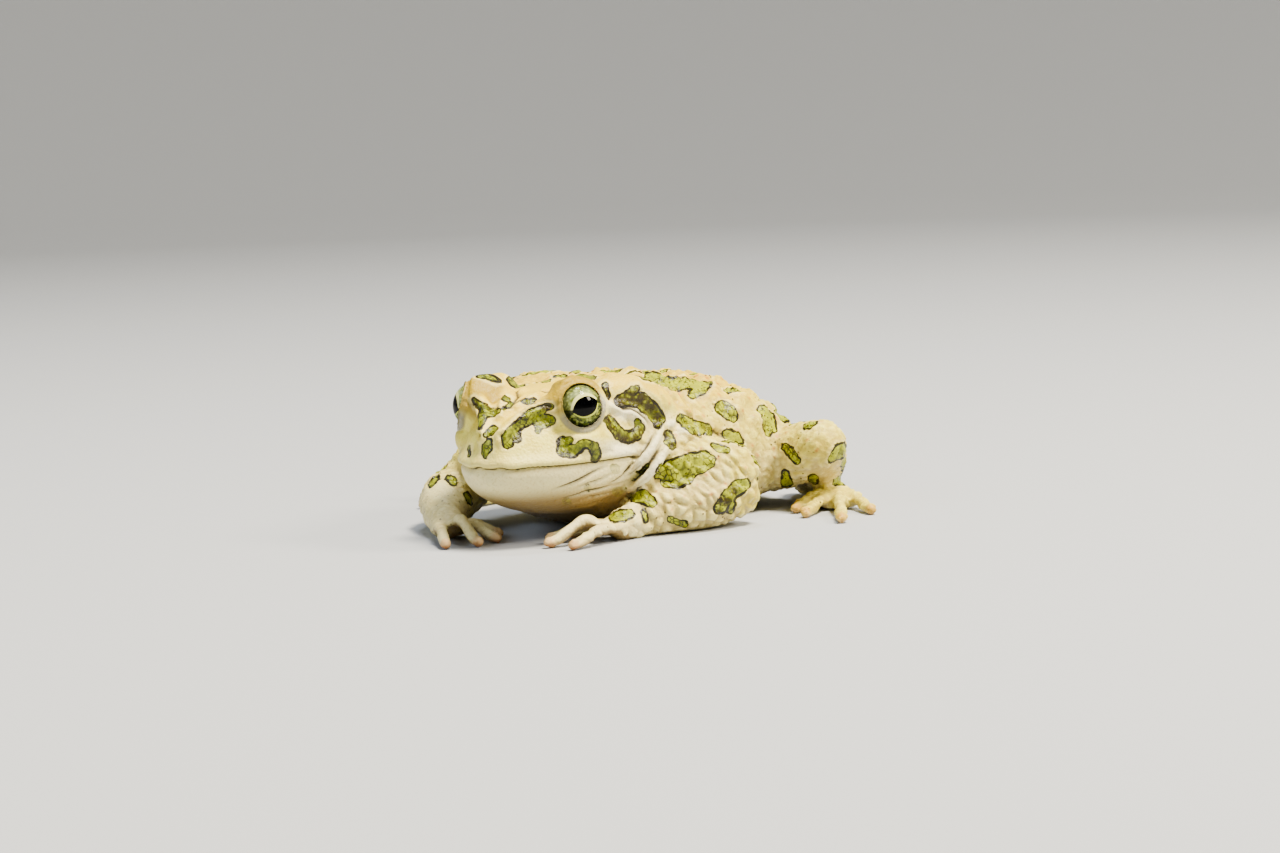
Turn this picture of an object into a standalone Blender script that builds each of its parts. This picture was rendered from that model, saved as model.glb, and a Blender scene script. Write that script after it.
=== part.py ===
"""A European green toad at rest, life size: an adult female, 90 mm from snout to vent.

The snout points to -Y and the animal's left is +X. Shapes are laid out in millimetres with the
lip at y = 0 and the floor at z = 0, and the finished nodes are turned to metres at the end.
"""

import math

import bmesh
import bpy
import numpy as np
from mathutils import Matrix, Vector

# Driving dimensions, in millimetres
HEAD_HALF_WIDTH = 16.3
SNOUT_TIP = -5.0
GAPE = 21.4
MOUTH_HEIGHT = 15.1
EYE_RADIUS = 4.6
EYE_CENTRE = Vector((10.9, 9.7, 25.5))
EYE_AXIS = Vector((0.727, -0.654, 0.208)).normalized()
LID_FORWARD = 1.75
LID_RADIUS = 4.6
JOINT_GAP = 0.3
MOUTH_GAP = 0.35
FINGER = 1.2
TOE = 1.25
WEB_REACH = 0.38

# How finely the forms melt together, in millimetres, and how many triangles each node keeps
BODY_GRAIN, HEAD_GRAIN, FOOT_GRAIN = 0.6, 0.45, 0.4
SIDES = 48
TORSO_TRIANGLES, HEAD_TRIANGLES = 3800, 2700
UPPER_ARM_TRIANGLES, FOREARM_TRIANGLES, HAND_TRIANGLES = 420, 480, 780
THIGH_TRIANGLES, SHANK_TRIANGLES, FOOT_TRIANGLES = 520, 480, 1000

# Swollen parts of the left side: centre, radii, and the direction of the third radius
NECK = ((13, 27, 14), (5.6, 6.5, 6.5), (0, 0, 1))
HIP = ((10, 73, 10.5), (9, 8.5, 8.5), (0, 0, 1))
HUNCH = ((14, 41, 20.4), (12.5, 16, 8.6), (0, 0, 1))
BROW = ((9.9, 10.9, 25.2), (5.6, 7.2, 6.0), (0, 0, 1))
CHEEK = ((11.6, 13.0, 19.4), (4.4, 8.0, 4.6), (0, 0, 1))
EARDRUM = ((15.1, 18.0, 22.3), (2.2, 2.5, 1.1), (1, -0.1, 0.35))
NOSTRIL = ((2.6, -4.3, 21.6), (0.5, 0.65, 0.9), (0.8, -0.6, 0.1))
NOSTRIL_MOUND = (2.0, -3.3, 21.4)
SNOUT_RIDGE = [(8.0, 5.8, 27.2, 1.6), (5.2, 2.2, 25.3, 1.4), (2.9, -1.2, 23.2, 1.2), (2.2, -3.2, 21.7, 1.1)]

# Warts: seed, how many, smallest and largest radius
BACK_WARTS = (3, 80, 1.5, 2.4)
UPPER_ARM_WARTS = (11, 9, 1.0, 1.5)
FOREARM_WARTS = (12, 10, 1.0, 1.5)
THIGH_WARTS = (13, 14, 1.1, 1.7)
SHANK_WARTS = (14, 10, 1.0, 1.5)

# Where the feet point, in radians from straight ahead towards the left, and the ankle
LEFT_HAND_TURN = math.radians(-15)
RIGHT_HAND_TURN = math.radians(40)
FOOT_TURN = math.radians(27)
ANKLE = (34, 71, 0)

# Cross-sections of the body: y, half width, widest height, top, bottom, roundness above and below
BODY = [
    (15, 10.5, 15.0, 25.0, 7.5, 2.6, 2.4),
    (20, 16.5, 15.0, 27.6, 4.0, 2.9, 2.5),
    (27, 19.5, 14.5, 28.4, 1.4, 2.9, 2.6),
    (36, 21.3, 12.5, 28.3, -0.3, 2.8, 2.6),
    (48, 24.6, 11.0, 28.2, -0.9, 2.6, 2.6),
    (58, 26.6, 10.5, 27.4, -0.9, 2.5, 2.6),
    (67, 26.2, 10.5, 25.2, -0.7, 2.4, 2.5),
    (75, 22.4, 10.5, 21.4, 0.2, 2.3, 2.3),
    (81, 15.8, 10.0, 17.2, 2.4, 2.1, 2.1),
    (86, 6.0, 9.5, 12.6, 6.2, 2.0, 2.0),
]

# Side view of the head: y, top, bottom, roundness above
PROFILE = [
    (-5.0, 18.0, 13.0, 1.9),
    (-4.6, 20.0, 12.0, 1.9),
    (-3.6, 21.6, 10.9, 1.8),
    (-2.0, 23.0, 9.9, 1.7),
    (0.5, 24.6, 8.7, 1.7),
    (3.5, 26.2, 7.6, 1.8),
    (7.0, 27.5, 6.4, 2.1),
    (11.0, 28.0, 5.2, 2.4),
    (18.0, 28.4, 4.1, 2.7),
    (24.0, 28.6, 3.7, 2.8),
    (29.0, 28.4, 3.5, 2.8),
]

# The gland behind the eye and the folds of skin below it: x, y, z, radius along the left side
GLAND = [(12.2, 18.8, 27.4, 2.7), (14.3, 23.8, 26.8, 3.6), (16.8, 28.6, 24.2, 3.6), (18.2, 31.2, 21.4, 2.7)]
NECK_FOLDS = [
    [(19.5, 29.6, 21.0, 1.5), (19.4, 26.4, 19.6, 1.3), (19.0, 24.0, 17.4, 1.3), (18.4, 22.0, 15.2, 1.2),
     (17.5, 20.6, 13.2, 1.0)],
    [(21.0, 27.0, 17.0, 1.5), (20.4, 24.4, 15.2, 1.5), (19.6, 22.6, 13.2, 1.3), (18.0, 21.5, 11.0, 1.1),
     (16.1, 20.8, 9.0, 0.9)],
    [(21.8, 31.6, 18.4, 1.7), (21.7, 29.6, 16.8, 1.4)],
]
HEAD_FOLDS = [
    [(14.4, 15.0, 25.2, 0.8), (15.7, 18.6, 24.5, 0.9), (17.1, 22.2, 23.0, 1.0), (17.9, 24.6, 21.2, 0.9)],
    [(13.6, 13.6, 22.8, 1.4), (14.7, 16.2, 20.2, 1.7), (15.1, 19.2, 18.7, 1.7), (16.7, 21.6, 19.4, 1.4)],
]


def clear_scene():
    for obj in list(bpy.data.objects):
        bpy.data.objects.remove(obj, do_unlink=True)


def through(rows, at):
    """The rows' later columns at `at`, along a smooth curve through the rows."""
    table = np.array(rows, float)
    x, values = table[:, 0], table[:, 1:]
    slope = np.gradient(values, x, axis=0)
    i = int(np.clip(np.searchsorted(x, at) - 1, 0, len(x) - 2))
    span = x[i + 1] - x[i]
    t = float(np.clip((at - x[i]) / span, 0, 1))
    return (
        (2 * t**3 - 3 * t**2 + 1) * values[i]
        + (t**3 - 2 * t**2 + t) * span * slope[i]
        + (3 * t**2 - 2 * t**3) * values[i + 1]
        + (t**3 - t**2) * span * slope[i + 1]
    )


def as_object(name, bm):
    mesh = bpy.data.meshes.new(name)
    bm.to_mesh(mesh)
    bm.free()
    obj = bpy.data.objects.new(name, mesh)
    bpy.context.scene.collection.objects.link(obj)
    return obj


def bake(obj):
    """The object's modifiers worked into its mesh."""
    graph = bpy.context.evaluated_depsgraph_get()
    mesh = bpy.data.meshes.new_from_object(obj.evaluated_get(graph))
    obj.modifiers.clear()
    obj.data = mesh
    return obj


def fused(name, bm, grain, rounds, triangles):
    """One closed skin over all of bm's overlapping shapes, softened, with about that many triangles."""
    obj = as_object(name, bm)
    melt = obj.modifiers.new("melt", "REMESH")
    melt.mode = "VOXEL"
    melt.voxel_size = grain
    soften = obj.modifiers.new("soften", "SMOOTH")
    soften.factor = 0.5
    soften.iterations = rounds
    bake(obj)
    now = sum(len(face.vertices) - 2 for face in obj.data.polygons)
    thin = obj.modifiers.new("thin", "DECIMATE")
    thin.ratio = min(1.0, triangles / now)
    return bake(obj)


def ball(bm, centre, radius, detail=3, along=None):
    """A ball, or with three radii an ellipsoid whose third axis points along a direction."""
    radii = radius if isinstance(radius, (tuple, list)) else (radius,) * 3
    turn = Matrix()
    if along is not None:
        turn = Vector(along).to_track_quat("Z", "Y").to_matrix().to_4x4()
    place = Matrix.Translation(Vector(centre)) @ turn @ Matrix.Diagonal((*radii, 1.0))
    bmesh.ops.create_icosphere(bm, subdivisions=detail, radius=1.0, matrix=place)


def chain(bm, joints, detail=3):
    """A limb as closely strung balls on a smooth path through joints (x, y, z, radius)."""
    joints = np.array(joints, float)
    steps = np.linalg.norm(np.diff(joints[:, :3], axis=0), axis=1)
    rows = np.column_stack([np.concatenate([[0], np.cumsum(steps)]), joints])
    at = 0.0
    while at <= rows[-1, 0]:
        x, y, z, r = through(rows, at)
        ball(bm, (x, y, z), r, detail)
        at += 0.32 * r
    ball(bm, joints[-1, :3], joints[-1, 3], detail)


def loft(bm, sections):
    """A closed body through upright cross-sections, rounded like a soft rectangle."""
    rings = []
    for y, half, widest, top, bottom, round_top, round_bottom in sections:
        ring = bmesh.ops.create_circle(bm, cap_ends=False, radius=1.0, segments=SIDES)["verts"]
        for vert in ring:
            c, s = vert.co.x, vert.co.y
            power, reach = (round_top, top - widest) if s > 0 else (round_bottom, widest - bottom)
            x = half * math.copysign(abs(c) ** (2 / power), c)
            vert.co = (x, y, widest + reach * math.copysign(abs(s) ** (2 / power), s))
        rings.append(ring)
    for ring, following in zip(rings, rings[1:]):
        edges = {edge for vert in ring + following for edge in vert.link_edges}
        loops = [e for e in edges if set(e.verts) <= set(ring) or set(e.verts) <= set(following)]
        bmesh.ops.bridge_loops(bm, edges=loops)
    for ring in (rings[0], rings[-1]):
        bmesh.ops.contextual_create(bm, geom=ring)
    bmesh.ops.recalc_face_normals(bm, faces=bm.faces)


def mirrored(joints):
    return [(-x, *rest) for x, *rest in joints]


def half_width(y):
    """Half the head's width at the lips, in plan a blunt arch that runs straight past the gape."""
    t = min(max((y - SNOUT_TIP) / (GAPE - SNOUT_TIP), 0.0), 1.0)
    return HEAD_HALF_WIDTH * (1 - (1 - t) ** 1.8) ** (1 / 1.8)


def mouth_height(x):
    """The line of the mouth: nearly level, with a small wave each side of the middle."""
    away = abs(x)
    crest = 0.28 * math.exp(-(((away - 2.4) / 1.2) ** 2))
    dip = 0.12 * math.exp(-(((away - 4.6) / 1.3) ** 2))
    return MOUTH_HEIGHT + crest - dip + 0.15 * math.exp(-(((away - 8.0) / 2.0) ** 2))


def lip(bm, radius, above, inset):
    """A rounded rim along the whole gape, one side to the other round the snout."""
    for side in (1, -1):
        joints = []
        for t in np.linspace(0, 1, 14) ** 2:
            y = SNOUT_TIP + t * (GAPE - 1.5 - SNOUT_TIP)
            x = side * max(half_width(y) - inset, 0.0)
            joints.append((x, max(y, SNOUT_TIP + inset), mouth_height(x) + above, radius))
        chain(bm, joints, 2)


def swelling(bm, side, form, detail=3):
    """One of the swollen parts above, on the left side or mirrored to the right."""
    (x, y, z), radii, (u, v, w) = form
    ball(bm, (side * x, y, z), radii, detail, (side * u, v, w))


def body_point(y, turn):
    """A point of the body's surface, by how far back it lies and the turn from the left side over the back."""
    half, widest, top, _, above, _ = through(BODY, y)
    x = half * math.copysign(abs(math.cos(turn)) ** (2 / above), math.cos(turn))
    return Vector((x, y, widest + (top - widest) * math.sin(turn) ** (2 / above)))


def body_place(rng):
    """A random place on the back and the way out from it."""
    y, turn = rng.uniform(32, 82), rng.uniform(0.1, 0.9) * math.pi
    at = body_point(y, turn)
    across = body_point(y, turn + 0.02) - at
    return at, across.cross(body_point(y + 0.1, turn) - at).normalized()


def limb_place(rng, joints):
    """A random place on the upper side of a limb and the way out from it."""
    joints = np.array(joints, float)
    rows = np.column_stack([np.arange(len(joints)), joints])
    t = rng.uniform(0.1, len(joints) - 1.1)
    x, y, z, r = through(rows, t)
    run = Vector(through(rows, t + 0.05)[:3] - (x, y, z)).normalized()
    out = Vector(rng.normal(size=3))
    out = (out - out.dot(run) * run).normalized()
    if out.z < -0.1:
        out = -out
    return Vector((x, y, z)) + out * r, out


def add_warts(bm, place, seed, count, low, high):
    """Low round warts at places drawn by `place` that keep clear of each other."""
    rng = np.random.default_rng(seed)
    found = []
    for _ in range(count * 40):
        at, out = place(rng)
        radius = rng.uniform(low, high)
        if len(found) < count and all((at - other).length > 1.2 * (radius + r) for other, r in found):
            found.append((at, radius))
            ball(bm, at - out * radius * 0.1, (radius, radius, radius * 0.42), 2, out)


def torso_shape(bm):
    loft(bm, [(y, *through(BODY, y)) for y in np.linspace(15, 86, 41)])
    for side in (1, -1):
        for form in (NECK, HIP):
            swelling(bm, side, form)
        for fold in [GLAND] + NECK_FOLDS:
            chain(bm, fold if side > 0 else mirrored(fold), 2)
    swelling(bm, -1, HUNCH)
    add_warts(bm, body_place, *BACK_WARTS)


def head_shape(bm):
    behind_tip = [0.05, 0.35, 0.9, 1.8, 3.0, 4.6, 6.6, 9.0, 11.6, 14.6, 18.0, 21.8, 26.4, 30.0, 34.0]
    sections = []
    for step in behind_tip:
        y = SNOUT_TIP + step
        top, bottom, round_top = through(PROFILE, y)
        sections.append((y, half_width(y), MOUTH_HEIGHT, top, bottom, round_top, 2.2))
    loft(bm, sections)
    for side in (1, -1):
        eye, axis = Vector(EYE_CENTRE), Vector(EYE_AXIS)
        eye.x, axis.x = side * eye.x, side * axis.x
        for form in (BROW, CHEEK, EARDRUM):
            swelling(bm, side, form)
        x, y, z = NOSTRIL_MOUND
        ball(bm, (side * x, y, z), 1.3)
        for fold in [SNOUT_RIDGE] + HEAD_FOLDS:
            chain(bm, fold if side > 0 else mirrored(fold))
        across = axis.cross(Vector((0, 0, 1))).normalized()
        up = across.cross(axis).normalized()
        for k in range(40):
            a = 2 * math.pi * k / 40
            at = eye + axis * LID_FORWARD + (across * math.cos(a) + up * math.sin(a)) * LID_RADIUS
            ball(bm, at, 0.85 - 0.15 * math.sin(a), 2)
    lip(bm, 1.2, 1.1, 0.8)
    lip(bm, 1.1, -1.1, 1.2)


LEFT_UPPER_ARM = [(12, 25, 13.6, 6.4), (21, 32.5, 12.2, 6.3), (26.6, 39.5, 10.2, 6.0)]
LEFT_FOREARM = [(27.0, 39.6, 6.6, 5.6), (24.4, 33.5, 6.0, 6.1), (20.6, 27, 5.2, 5.3), (17.4, 21.4, 3.8, 3.8)]
RIGHT_UPPER_ARM = [(-12, 25, 13.4, 6.4), (-21, 28.2, 10.8, 6.0), (-27.2, 31, 7.9, 5.4)]
RIGHT_FOREARM = [
    (-27.4, 31, 6.4, 5.0),
    (-26.6, 24.5, 5.9, 5.6),
    (-24.2, 18.4, 5.0, 4.9),
    (-21.8, 13.2, 3.8, 3.7),
]
THIGH = [(9, 72, 10, 7.6), (19, 68.5, 9.4, 7.0), (29, 65, 10.8, 6.0), (35.4, 62.5, 13.0, 5.1)]
SHANK = [(35.4, 62.7, 12.2, 4.6), (31.4, 70, 9.2, 5.3), (25.8, 77.2, 6.5, 4.4), (21.5, 83.5, 4.4, 3.4)]
TARSUS = [(21.5, 83.8, 3.1, 3.2), (26.5, 79.5, 2.5, 2.7), (31.5, 74.5, 2.3, 2.7), (34, 71, 2.0, 2.4)]

# Digits in the foot's own plane: start (ahead, inward), tip (ahead, inward), height of the knuckle
FINGERS = [
    ((7.6, -2.0), (21.4, -2.6), 3.0),
    ((8.4, 0.0), (21.5, 3.6), 4.4),
    ((7.6, 1.8), (17.0, 7.8), 3.2),
    ((5.0, 2.8), (10.4, 9.2), 2.6),
]
TOES = [
    ((0, 2.2), (6.5, 7.6), 2.0),
    ((0.5, 1.2), (11.5, 8.0), 2.1),
    ((1, 0.3), (18.6, 6.2), 2.3),
    ((1, -0.8), (28.0, -0.5), 2.5),
    ((0, -2), (17.0, -6.6), 2.2),
]


def digits(bm, root, heading, inward_side, rows, thick):
    """Slim digits that arch a little and come down on their tips."""
    ahead = Vector((math.sin(heading), -math.cos(heading), 0))
    inward = Vector((ahead.y, -ahead.x, 0)) * inward_side
    spread = []
    for (a0, i0), (a1, i1), knuckle in rows:
        start = root + ahead * a0 + inward * i0
        tip = root + ahead * a1 + inward * i1
        joints = []
        bends = ((0, 2.4, 1.25), (0.4, knuckle, 1.1), (0.72, 0.4 + knuckle * 0.5, 0.92), (1, 0.95, 0.95))
        for t, z, wide in bends:
            p = start.lerp(tip, t)
            joints.append((p.x, p.y, z, thick * wide))
        chain(bm, joints, 2)
        spread.append((start, tip))
    return spread


def web(bm, first, second, reach):
    """A thin web of skin between two neighbouring toes."""
    points = []
    for start, tip in (first, second):
        for t in (0.0, reach):
            p = start.lerp(tip, t)
            points += [(p.x, p.y, 0.3), (p.x, p.y, 1.7 - 0.4 * t)]
    middle = (first[0].lerp(first[1], reach * 0.6) + second[0].lerp(second[1], reach * 0.6)) / 2
    verts = [bm.verts.new(point) for point in points]
    hull = bmesh.ops.convex_hull(bm, input=verts)
    bmesh.ops.delete(bm, geom=hull["geom_interior"], context="VERTS")
    ball(bm, (middle.x, middle.y, 1.0), (1.2, 1.2, 0.6), 2)


def hand_shape(side, wrist, heading):
    def build(bm):
        ahead = Vector((math.sin(heading), -math.cos(heading), 0))
        root = Vector(wrist)
        palm = root + ahead * 5.5
        chain(bm, [(root.x, root.y, 3.4, 3.5), (palm.x, palm.y, 2.6, 3.3)])
        inward = Vector((ahead.y, -ahead.x, 0)) * side
        for a, i, r in ((2.5, -0.8, 2.0), (4.5, 2.6, 1.6)):
            at = root + ahead * a + inward * i
            ball(bm, (at.x, at.y, 1.2), r)
        digits(bm, root, heading, side, FINGERS, FINGER)

    return build


def foot_shape(side):
    def build(bm):
        joints = TARSUS if side > 0 else mirrored(TARSUS)
        chain(bm, joints)
        root = Vector((side * ANKLE[0], *ANKLE[1:]))
        toes = digits(bm, root, side * FOOT_TURN, side, TOES, TOE)
        for first, second in zip(toes, toes[1:]):
            web(bm, first, second, WEB_REACH)
        ball(bm, (side * 31.0, 70.0, 1.0), 1.3, 2)

    return build


def limb(name, joints, warts, triangles):
    """One segment of a limb with its warts."""
    bm = bmesh.new()
    chain(bm, joints)
    add_warts(bm, lambda rng: limb_place(rng, joints), *warts)
    return fused(name, bm, BODY_GRAIN, 3, triangles)


def swollen(obj, gap):
    """A copy of the object grown outwards by the gap, to cut room for a joint."""
    bm = bmesh.new()
    bm.from_mesh(obj.data)
    bm.normal_update()
    moves = [vert.normal * gap * min(vert.calc_shell_factor(), 1.4) for vert in bm.verts]
    for vert, move in zip(bm.verts, moves):
        vert.co += move
    return as_object(obj.name + "_room", bm)


def volume_of(mesh):
    bm = bmesh.new()
    bm.from_mesh(mesh)
    volume = bm.calc_volume()
    bm.free()
    return volume


def cut(obj, cutter):
    """Takes the cutter out of the object. MANIFOLD steps in where EXACT loses the body."""
    whole = obj.data
    for solver in ("EXACT", "MANIFOLD"):
        obj.data = whole
        boolean = obj.modifiers.new("cut", "BOOLEAN")
        boolean.operation = "DIFFERENCE"
        boolean.solver = solver
        boolean.object = cutter
        bake(obj)
        if 0.2 < volume_of(obj.data) / volume_of(whole) < 1.001:
            break
    bpy.data.objects.remove(cutter)


def closed_parts(obj):
    """The object's separate closed surfaces as bmeshes, the largest first."""
    bm = bmesh.new()
    bm.from_mesh(obj.data)
    bmesh.ops.remove_doubles(bm, verts=bm.verts, dist=0.003)
    bmesh.ops.dissolve_degenerate(bm, edges=bm.edges, dist=0.003)
    bmesh.ops.triangulate(bm, faces=bm.faces)
    bm.verts.index_update()
    left, parts = set(bm.verts), []
    while left:
        seen, stack = set(), [left.pop()]
        while stack:
            vert = stack.pop()
            if vert not in seen:
                seen.add(vert)
                stack += [edge.other_vert(vert) for edge in vert.link_edges]
        left -= seen
        part = bm.copy()
        part.verts.ensure_lookup_table()
        keep = {vert.index for vert in seen}
        extra = [vert for vert in part.verts if vert.index not in keep]
        bmesh.ops.delete(part, geom=extra, context="VERTS")
        parts.append(part)
    bm.free()
    return sorted(parts, key=lambda part: -abs(part.calc_volume()))


def keep_largest(obj):
    parts = closed_parts(obj)
    parts[0].to_mesh(obj.data)
    for part in parts:
        part.free()
    return obj


def floor_block():
    bm = bmesh.new()
    place = Matrix.Translation((0, 42, -10)) @ Matrix.Diagonal((200, 200, 20, 1))
    bmesh.ops.create_cube(bm, size=1.0, matrix=place)
    return as_object("under_floor", bm)


def eye_opening(side):
    """A flared cutter that opens the lids round the eyeball."""
    bm = bmesh.new()
    axis = Vector((side * EYE_AXIS.x, EYE_AXIS.y, EYE_AXIS.z))
    centre = Vector((side * EYE_CENTRE.x, EYE_CENTRE.y, EYE_CENTRE.z)) + axis * 3.6
    place = Matrix.Translation(centre) @ axis.to_track_quat("Z", "Y").to_matrix().to_4x4()
    bmesh.ops.create_cone(bm, cap_ends=True, segments=32, radius1=3.9, radius2=4.8, depth=4.4, matrix=place)
    return as_object("eye_opening", bm)


def nostril(side):
    bm = bmesh.new()
    swelling(bm, side, NOSTRIL, 2)
    return as_object("nostril", bm)


def mouth_sheet():
    """A thin curved sheet along the closed mouth."""
    bm = bmesh.new()
    place = Matrix.Translation((0, 11, 0)) @ Matrix.Diagonal((1, 0.95, 1, 1))
    bmesh.ops.create_grid(bm, x_segments=40, y_segments=6, size=20.0, matrix=place)
    for vert in bm.verts:
        vert.co.z = mouth_height(vert.co.x) - MOUTH_GAP / 2
    raised = bmesh.ops.extrude_face_region(bm, geom=list(bm.faces))["geom"]
    lifted = [item for item in raised if isinstance(item, bmesh.types.BMVert)]
    bmesh.ops.translate(bm, verts=lifted, vec=(0, 0, MOUTH_GAP))
    bmesh.ops.recalc_face_normals(bm, faces=bm.faces)
    return as_object("mouth_sheet", bm)


def material(name, colour, roughness):
    skin = bpy.data.materials.new(name)
    skin.use_nodes = True
    shader = skin.node_tree.nodes["Principled BSDF"]
    shader.inputs["Base Color"].default_value = (*colour, 1.0)
    shader.inputs["Roughness"].default_value = roughness
    return skin


def nearby(first, second):
    """Whether two objects' boxes come within three joint gaps of each other."""
    boxes = [np.array([vert.co for vert in obj.data.vertices]) for obj in (first, second)]
    low = [box.min(axis=0) - 1.5 * JOINT_GAP for box in boxes]
    high = [box.max(axis=0) + 1.5 * JOINT_GAP for box in boxes]
    return bool(((low[0] < high[1]) & (low[1] < high[0])).all())


def fit(obj, settled):
    """Cut room for the nodes already in place, and stand the rest on the floor."""
    for other in settled:
        if nearby(obj, other):
            cut(obj, swollen(other, JOINT_GAP))
    cut(obj, floor_block())
    return keep_largest(obj)


def make_toad():
    bm = bmesh.new()
    torso_shape(bm)
    torso = fit(fused("torso", bm, BODY_GRAIN, 3, TORSO_TRIANGLES), [])

    eyes = []
    for side, word in ((1, "left"), (-1, "right")):
        bm = bmesh.new()
        ball(bm, (side * EYE_CENTRE.x, EYE_CENTRE.y, EYE_CENTRE.z), EYE_RADIUS, 3)
        eyes.append(as_object("eye_" + word, bm))

    bm = bmesh.new()
    head_shape(bm)
    head = fused("head", bm, HEAD_GRAIN, 3, HEAD_TRIANGLES)
    for side, eye in zip((1, -1), eyes):
        cut(head, eye_opening(side))
        cut(head, swollen(eye, JOINT_GAP))
        cut(head, nostril(side))
    cut(head, swollen(torso, JOINT_GAP))
    keep_largest(head)
    cut(head, mouth_sheet())
    upper, lower, *others = closed_parts(head)
    upper.to_mesh(head.data)
    jaw = as_object("lower_jaw", lower)
    for part in [upper] + others:
        part.free()

    settled = [torso, head, jaw]
    arms = (
        (1, "left", LEFT_UPPER_ARM, LEFT_FOREARM, LEFT_HAND_TURN),
        (-1, "right", RIGHT_UPPER_ARM, RIGHT_FOREARM, RIGHT_HAND_TURN),
    )
    for side, word, upper_arm, forearm, heading in arms:
        segments = [
            limb("upper_arm_" + word, upper_arm, UPPER_ARM_WARTS, UPPER_ARM_TRIANGLES),
            limb("forearm_" + word, forearm, FOREARM_WARTS, FOREARM_TRIANGLES),
        ]
        bm = bmesh.new()
        hand_shape(side, forearm[-1][:3], heading)(bm)
        segments.append(fused("hand_" + word, bm, FOOT_GRAIN, 2, HAND_TRIANGLES))
        for segment in segments:
            settled.append(fit(segment, settled))
    for side, word in ((1, "left"), (-1, "right")):
        thigh, shank = (THIGH, SHANK) if side > 0 else (mirrored(THIGH), mirrored(SHANK))
        segments = [
            limb("thigh_" + word, thigh, THIGH_WARTS, THIGH_TRIANGLES),
            limb("shank_" + word, shank, SHANK_WARTS, SHANK_TRIANGLES),
        ]
        bm = bmesh.new()
        foot_shape(side)(bm)
        segments.append(fused("foot_" + word, bm, FOOT_GRAIN, 2, FOOT_TRIANGLES))
        for segment in segments:
            settled.append(fit(segment, settled))
    return settled, eyes


def main():
    clear_scene()
    flesh, eyes = make_toad()
    skin = material("skin", (0.52, 0.44, 0.28), 0.45)
    throat = material("throat", (0.72, 0.66, 0.52), 0.45)
    iris = material("iris", (0.30, 0.34, 0.14), 0.1)
    nodes = flesh + eyes
    points = np.concatenate([[vert.co for vert in obj.data.vertices] for obj in nodes])
    middle = (points.min(axis=0) + points.max(axis=0)) / 2
    place = Matrix.Scale(0.001, 4) @ Matrix.Translation((-middle[0], -middle[1], 0))
    for obj in nodes:
        obj.data.transform(place)
        obj.data.materials.clear()
        obj.data.materials.append(iris if obj in eyes else throat if obj.name == "lower_jaw" else skin)


main()
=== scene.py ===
# %% [markdown]
# # A European green toad, life size
# The toad sits low with its limbs folded: an adult female, 90 mm from snout to vent.
# The solid model comes first, as the fixed frame. Its flesh is many closed solids with narrow joints
# between them, and here one unbroken skin is laid over all of them, so no joint shows.
# The eyes stay separate, because a wet eyeball moves and shines apart from the skin round it.

import math

import bmesh
import bpy
import numpy as np
from mathutils import Matrix, Vector, noise
from mathutils.bvhtree import BVHTree


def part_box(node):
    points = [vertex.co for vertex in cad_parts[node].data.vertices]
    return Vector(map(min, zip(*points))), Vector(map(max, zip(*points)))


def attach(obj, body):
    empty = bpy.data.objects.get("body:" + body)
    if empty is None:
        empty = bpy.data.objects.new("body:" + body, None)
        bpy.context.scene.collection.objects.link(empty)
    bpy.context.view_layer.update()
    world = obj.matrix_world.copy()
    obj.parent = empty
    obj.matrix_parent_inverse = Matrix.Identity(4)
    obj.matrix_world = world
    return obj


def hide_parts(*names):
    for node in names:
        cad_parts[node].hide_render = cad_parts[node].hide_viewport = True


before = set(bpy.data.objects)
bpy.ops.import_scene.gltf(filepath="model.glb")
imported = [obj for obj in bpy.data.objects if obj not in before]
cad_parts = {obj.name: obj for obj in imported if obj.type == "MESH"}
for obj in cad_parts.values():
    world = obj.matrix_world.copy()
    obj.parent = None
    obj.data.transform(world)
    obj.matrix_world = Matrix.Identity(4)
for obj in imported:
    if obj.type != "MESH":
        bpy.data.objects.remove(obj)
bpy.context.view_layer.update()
FLESH = [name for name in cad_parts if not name.startswith("eye_")]
print("solids:", len(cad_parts), "of flesh:", len(FLESH))

# %% [markdown]
# ## The toad's own measure
# Everything below is said in millimetres, with the lip at y = 0, the floor at z = 0, the snout to -Y
# and the animal's left to +X. The centre of the left eyeball is known in both measures, so it tells
# how far the solid model is shifted, and nothing has to be fitted by hand.

# %% Millimetres, and the shift to the frame
MM = 0.001
EYE_RADIUS = 4.6
EYE_CENTRE = Vector((10.9, 9.7, 25.5))
EYE_AXIS = Vector((0.727, -0.654, 0.208)).normalized()
eye_low, eye_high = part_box("eye_left")
SHIFT = (eye_low + eye_high) / 2 - EYE_CENTRE * MM
SHIFT_MM = np.array(SHIFT) / MM
print("shift in mm:", [round(v, 2) for v in SHIFT_MM])

# %% [markdown]
# ## The camera
# A long lens, so that the head and the back keep their real proportions. The camera looks from 31
# degrees towards the animal's left and a little from above. It is made before the skin, because some
# markings are placed by where they show in this view.

# %% Camera
IMAGE_WIDTH, IMAGE_HEIGHT = 1280, 853
LENS, SENSOR = 100.0, 36.0
DISTANCE = 660.0
AZIMUTH, ELEVATION, ROLL = 31.0, 6.5, 2.3
LIP = Vector((0.0, 0.0, 15.0))
LIP_PIXEL = (502.5, 468.0)
FOCAL_PIXELS = LENS / SENSOR * IMAGE_WIDTH


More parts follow.
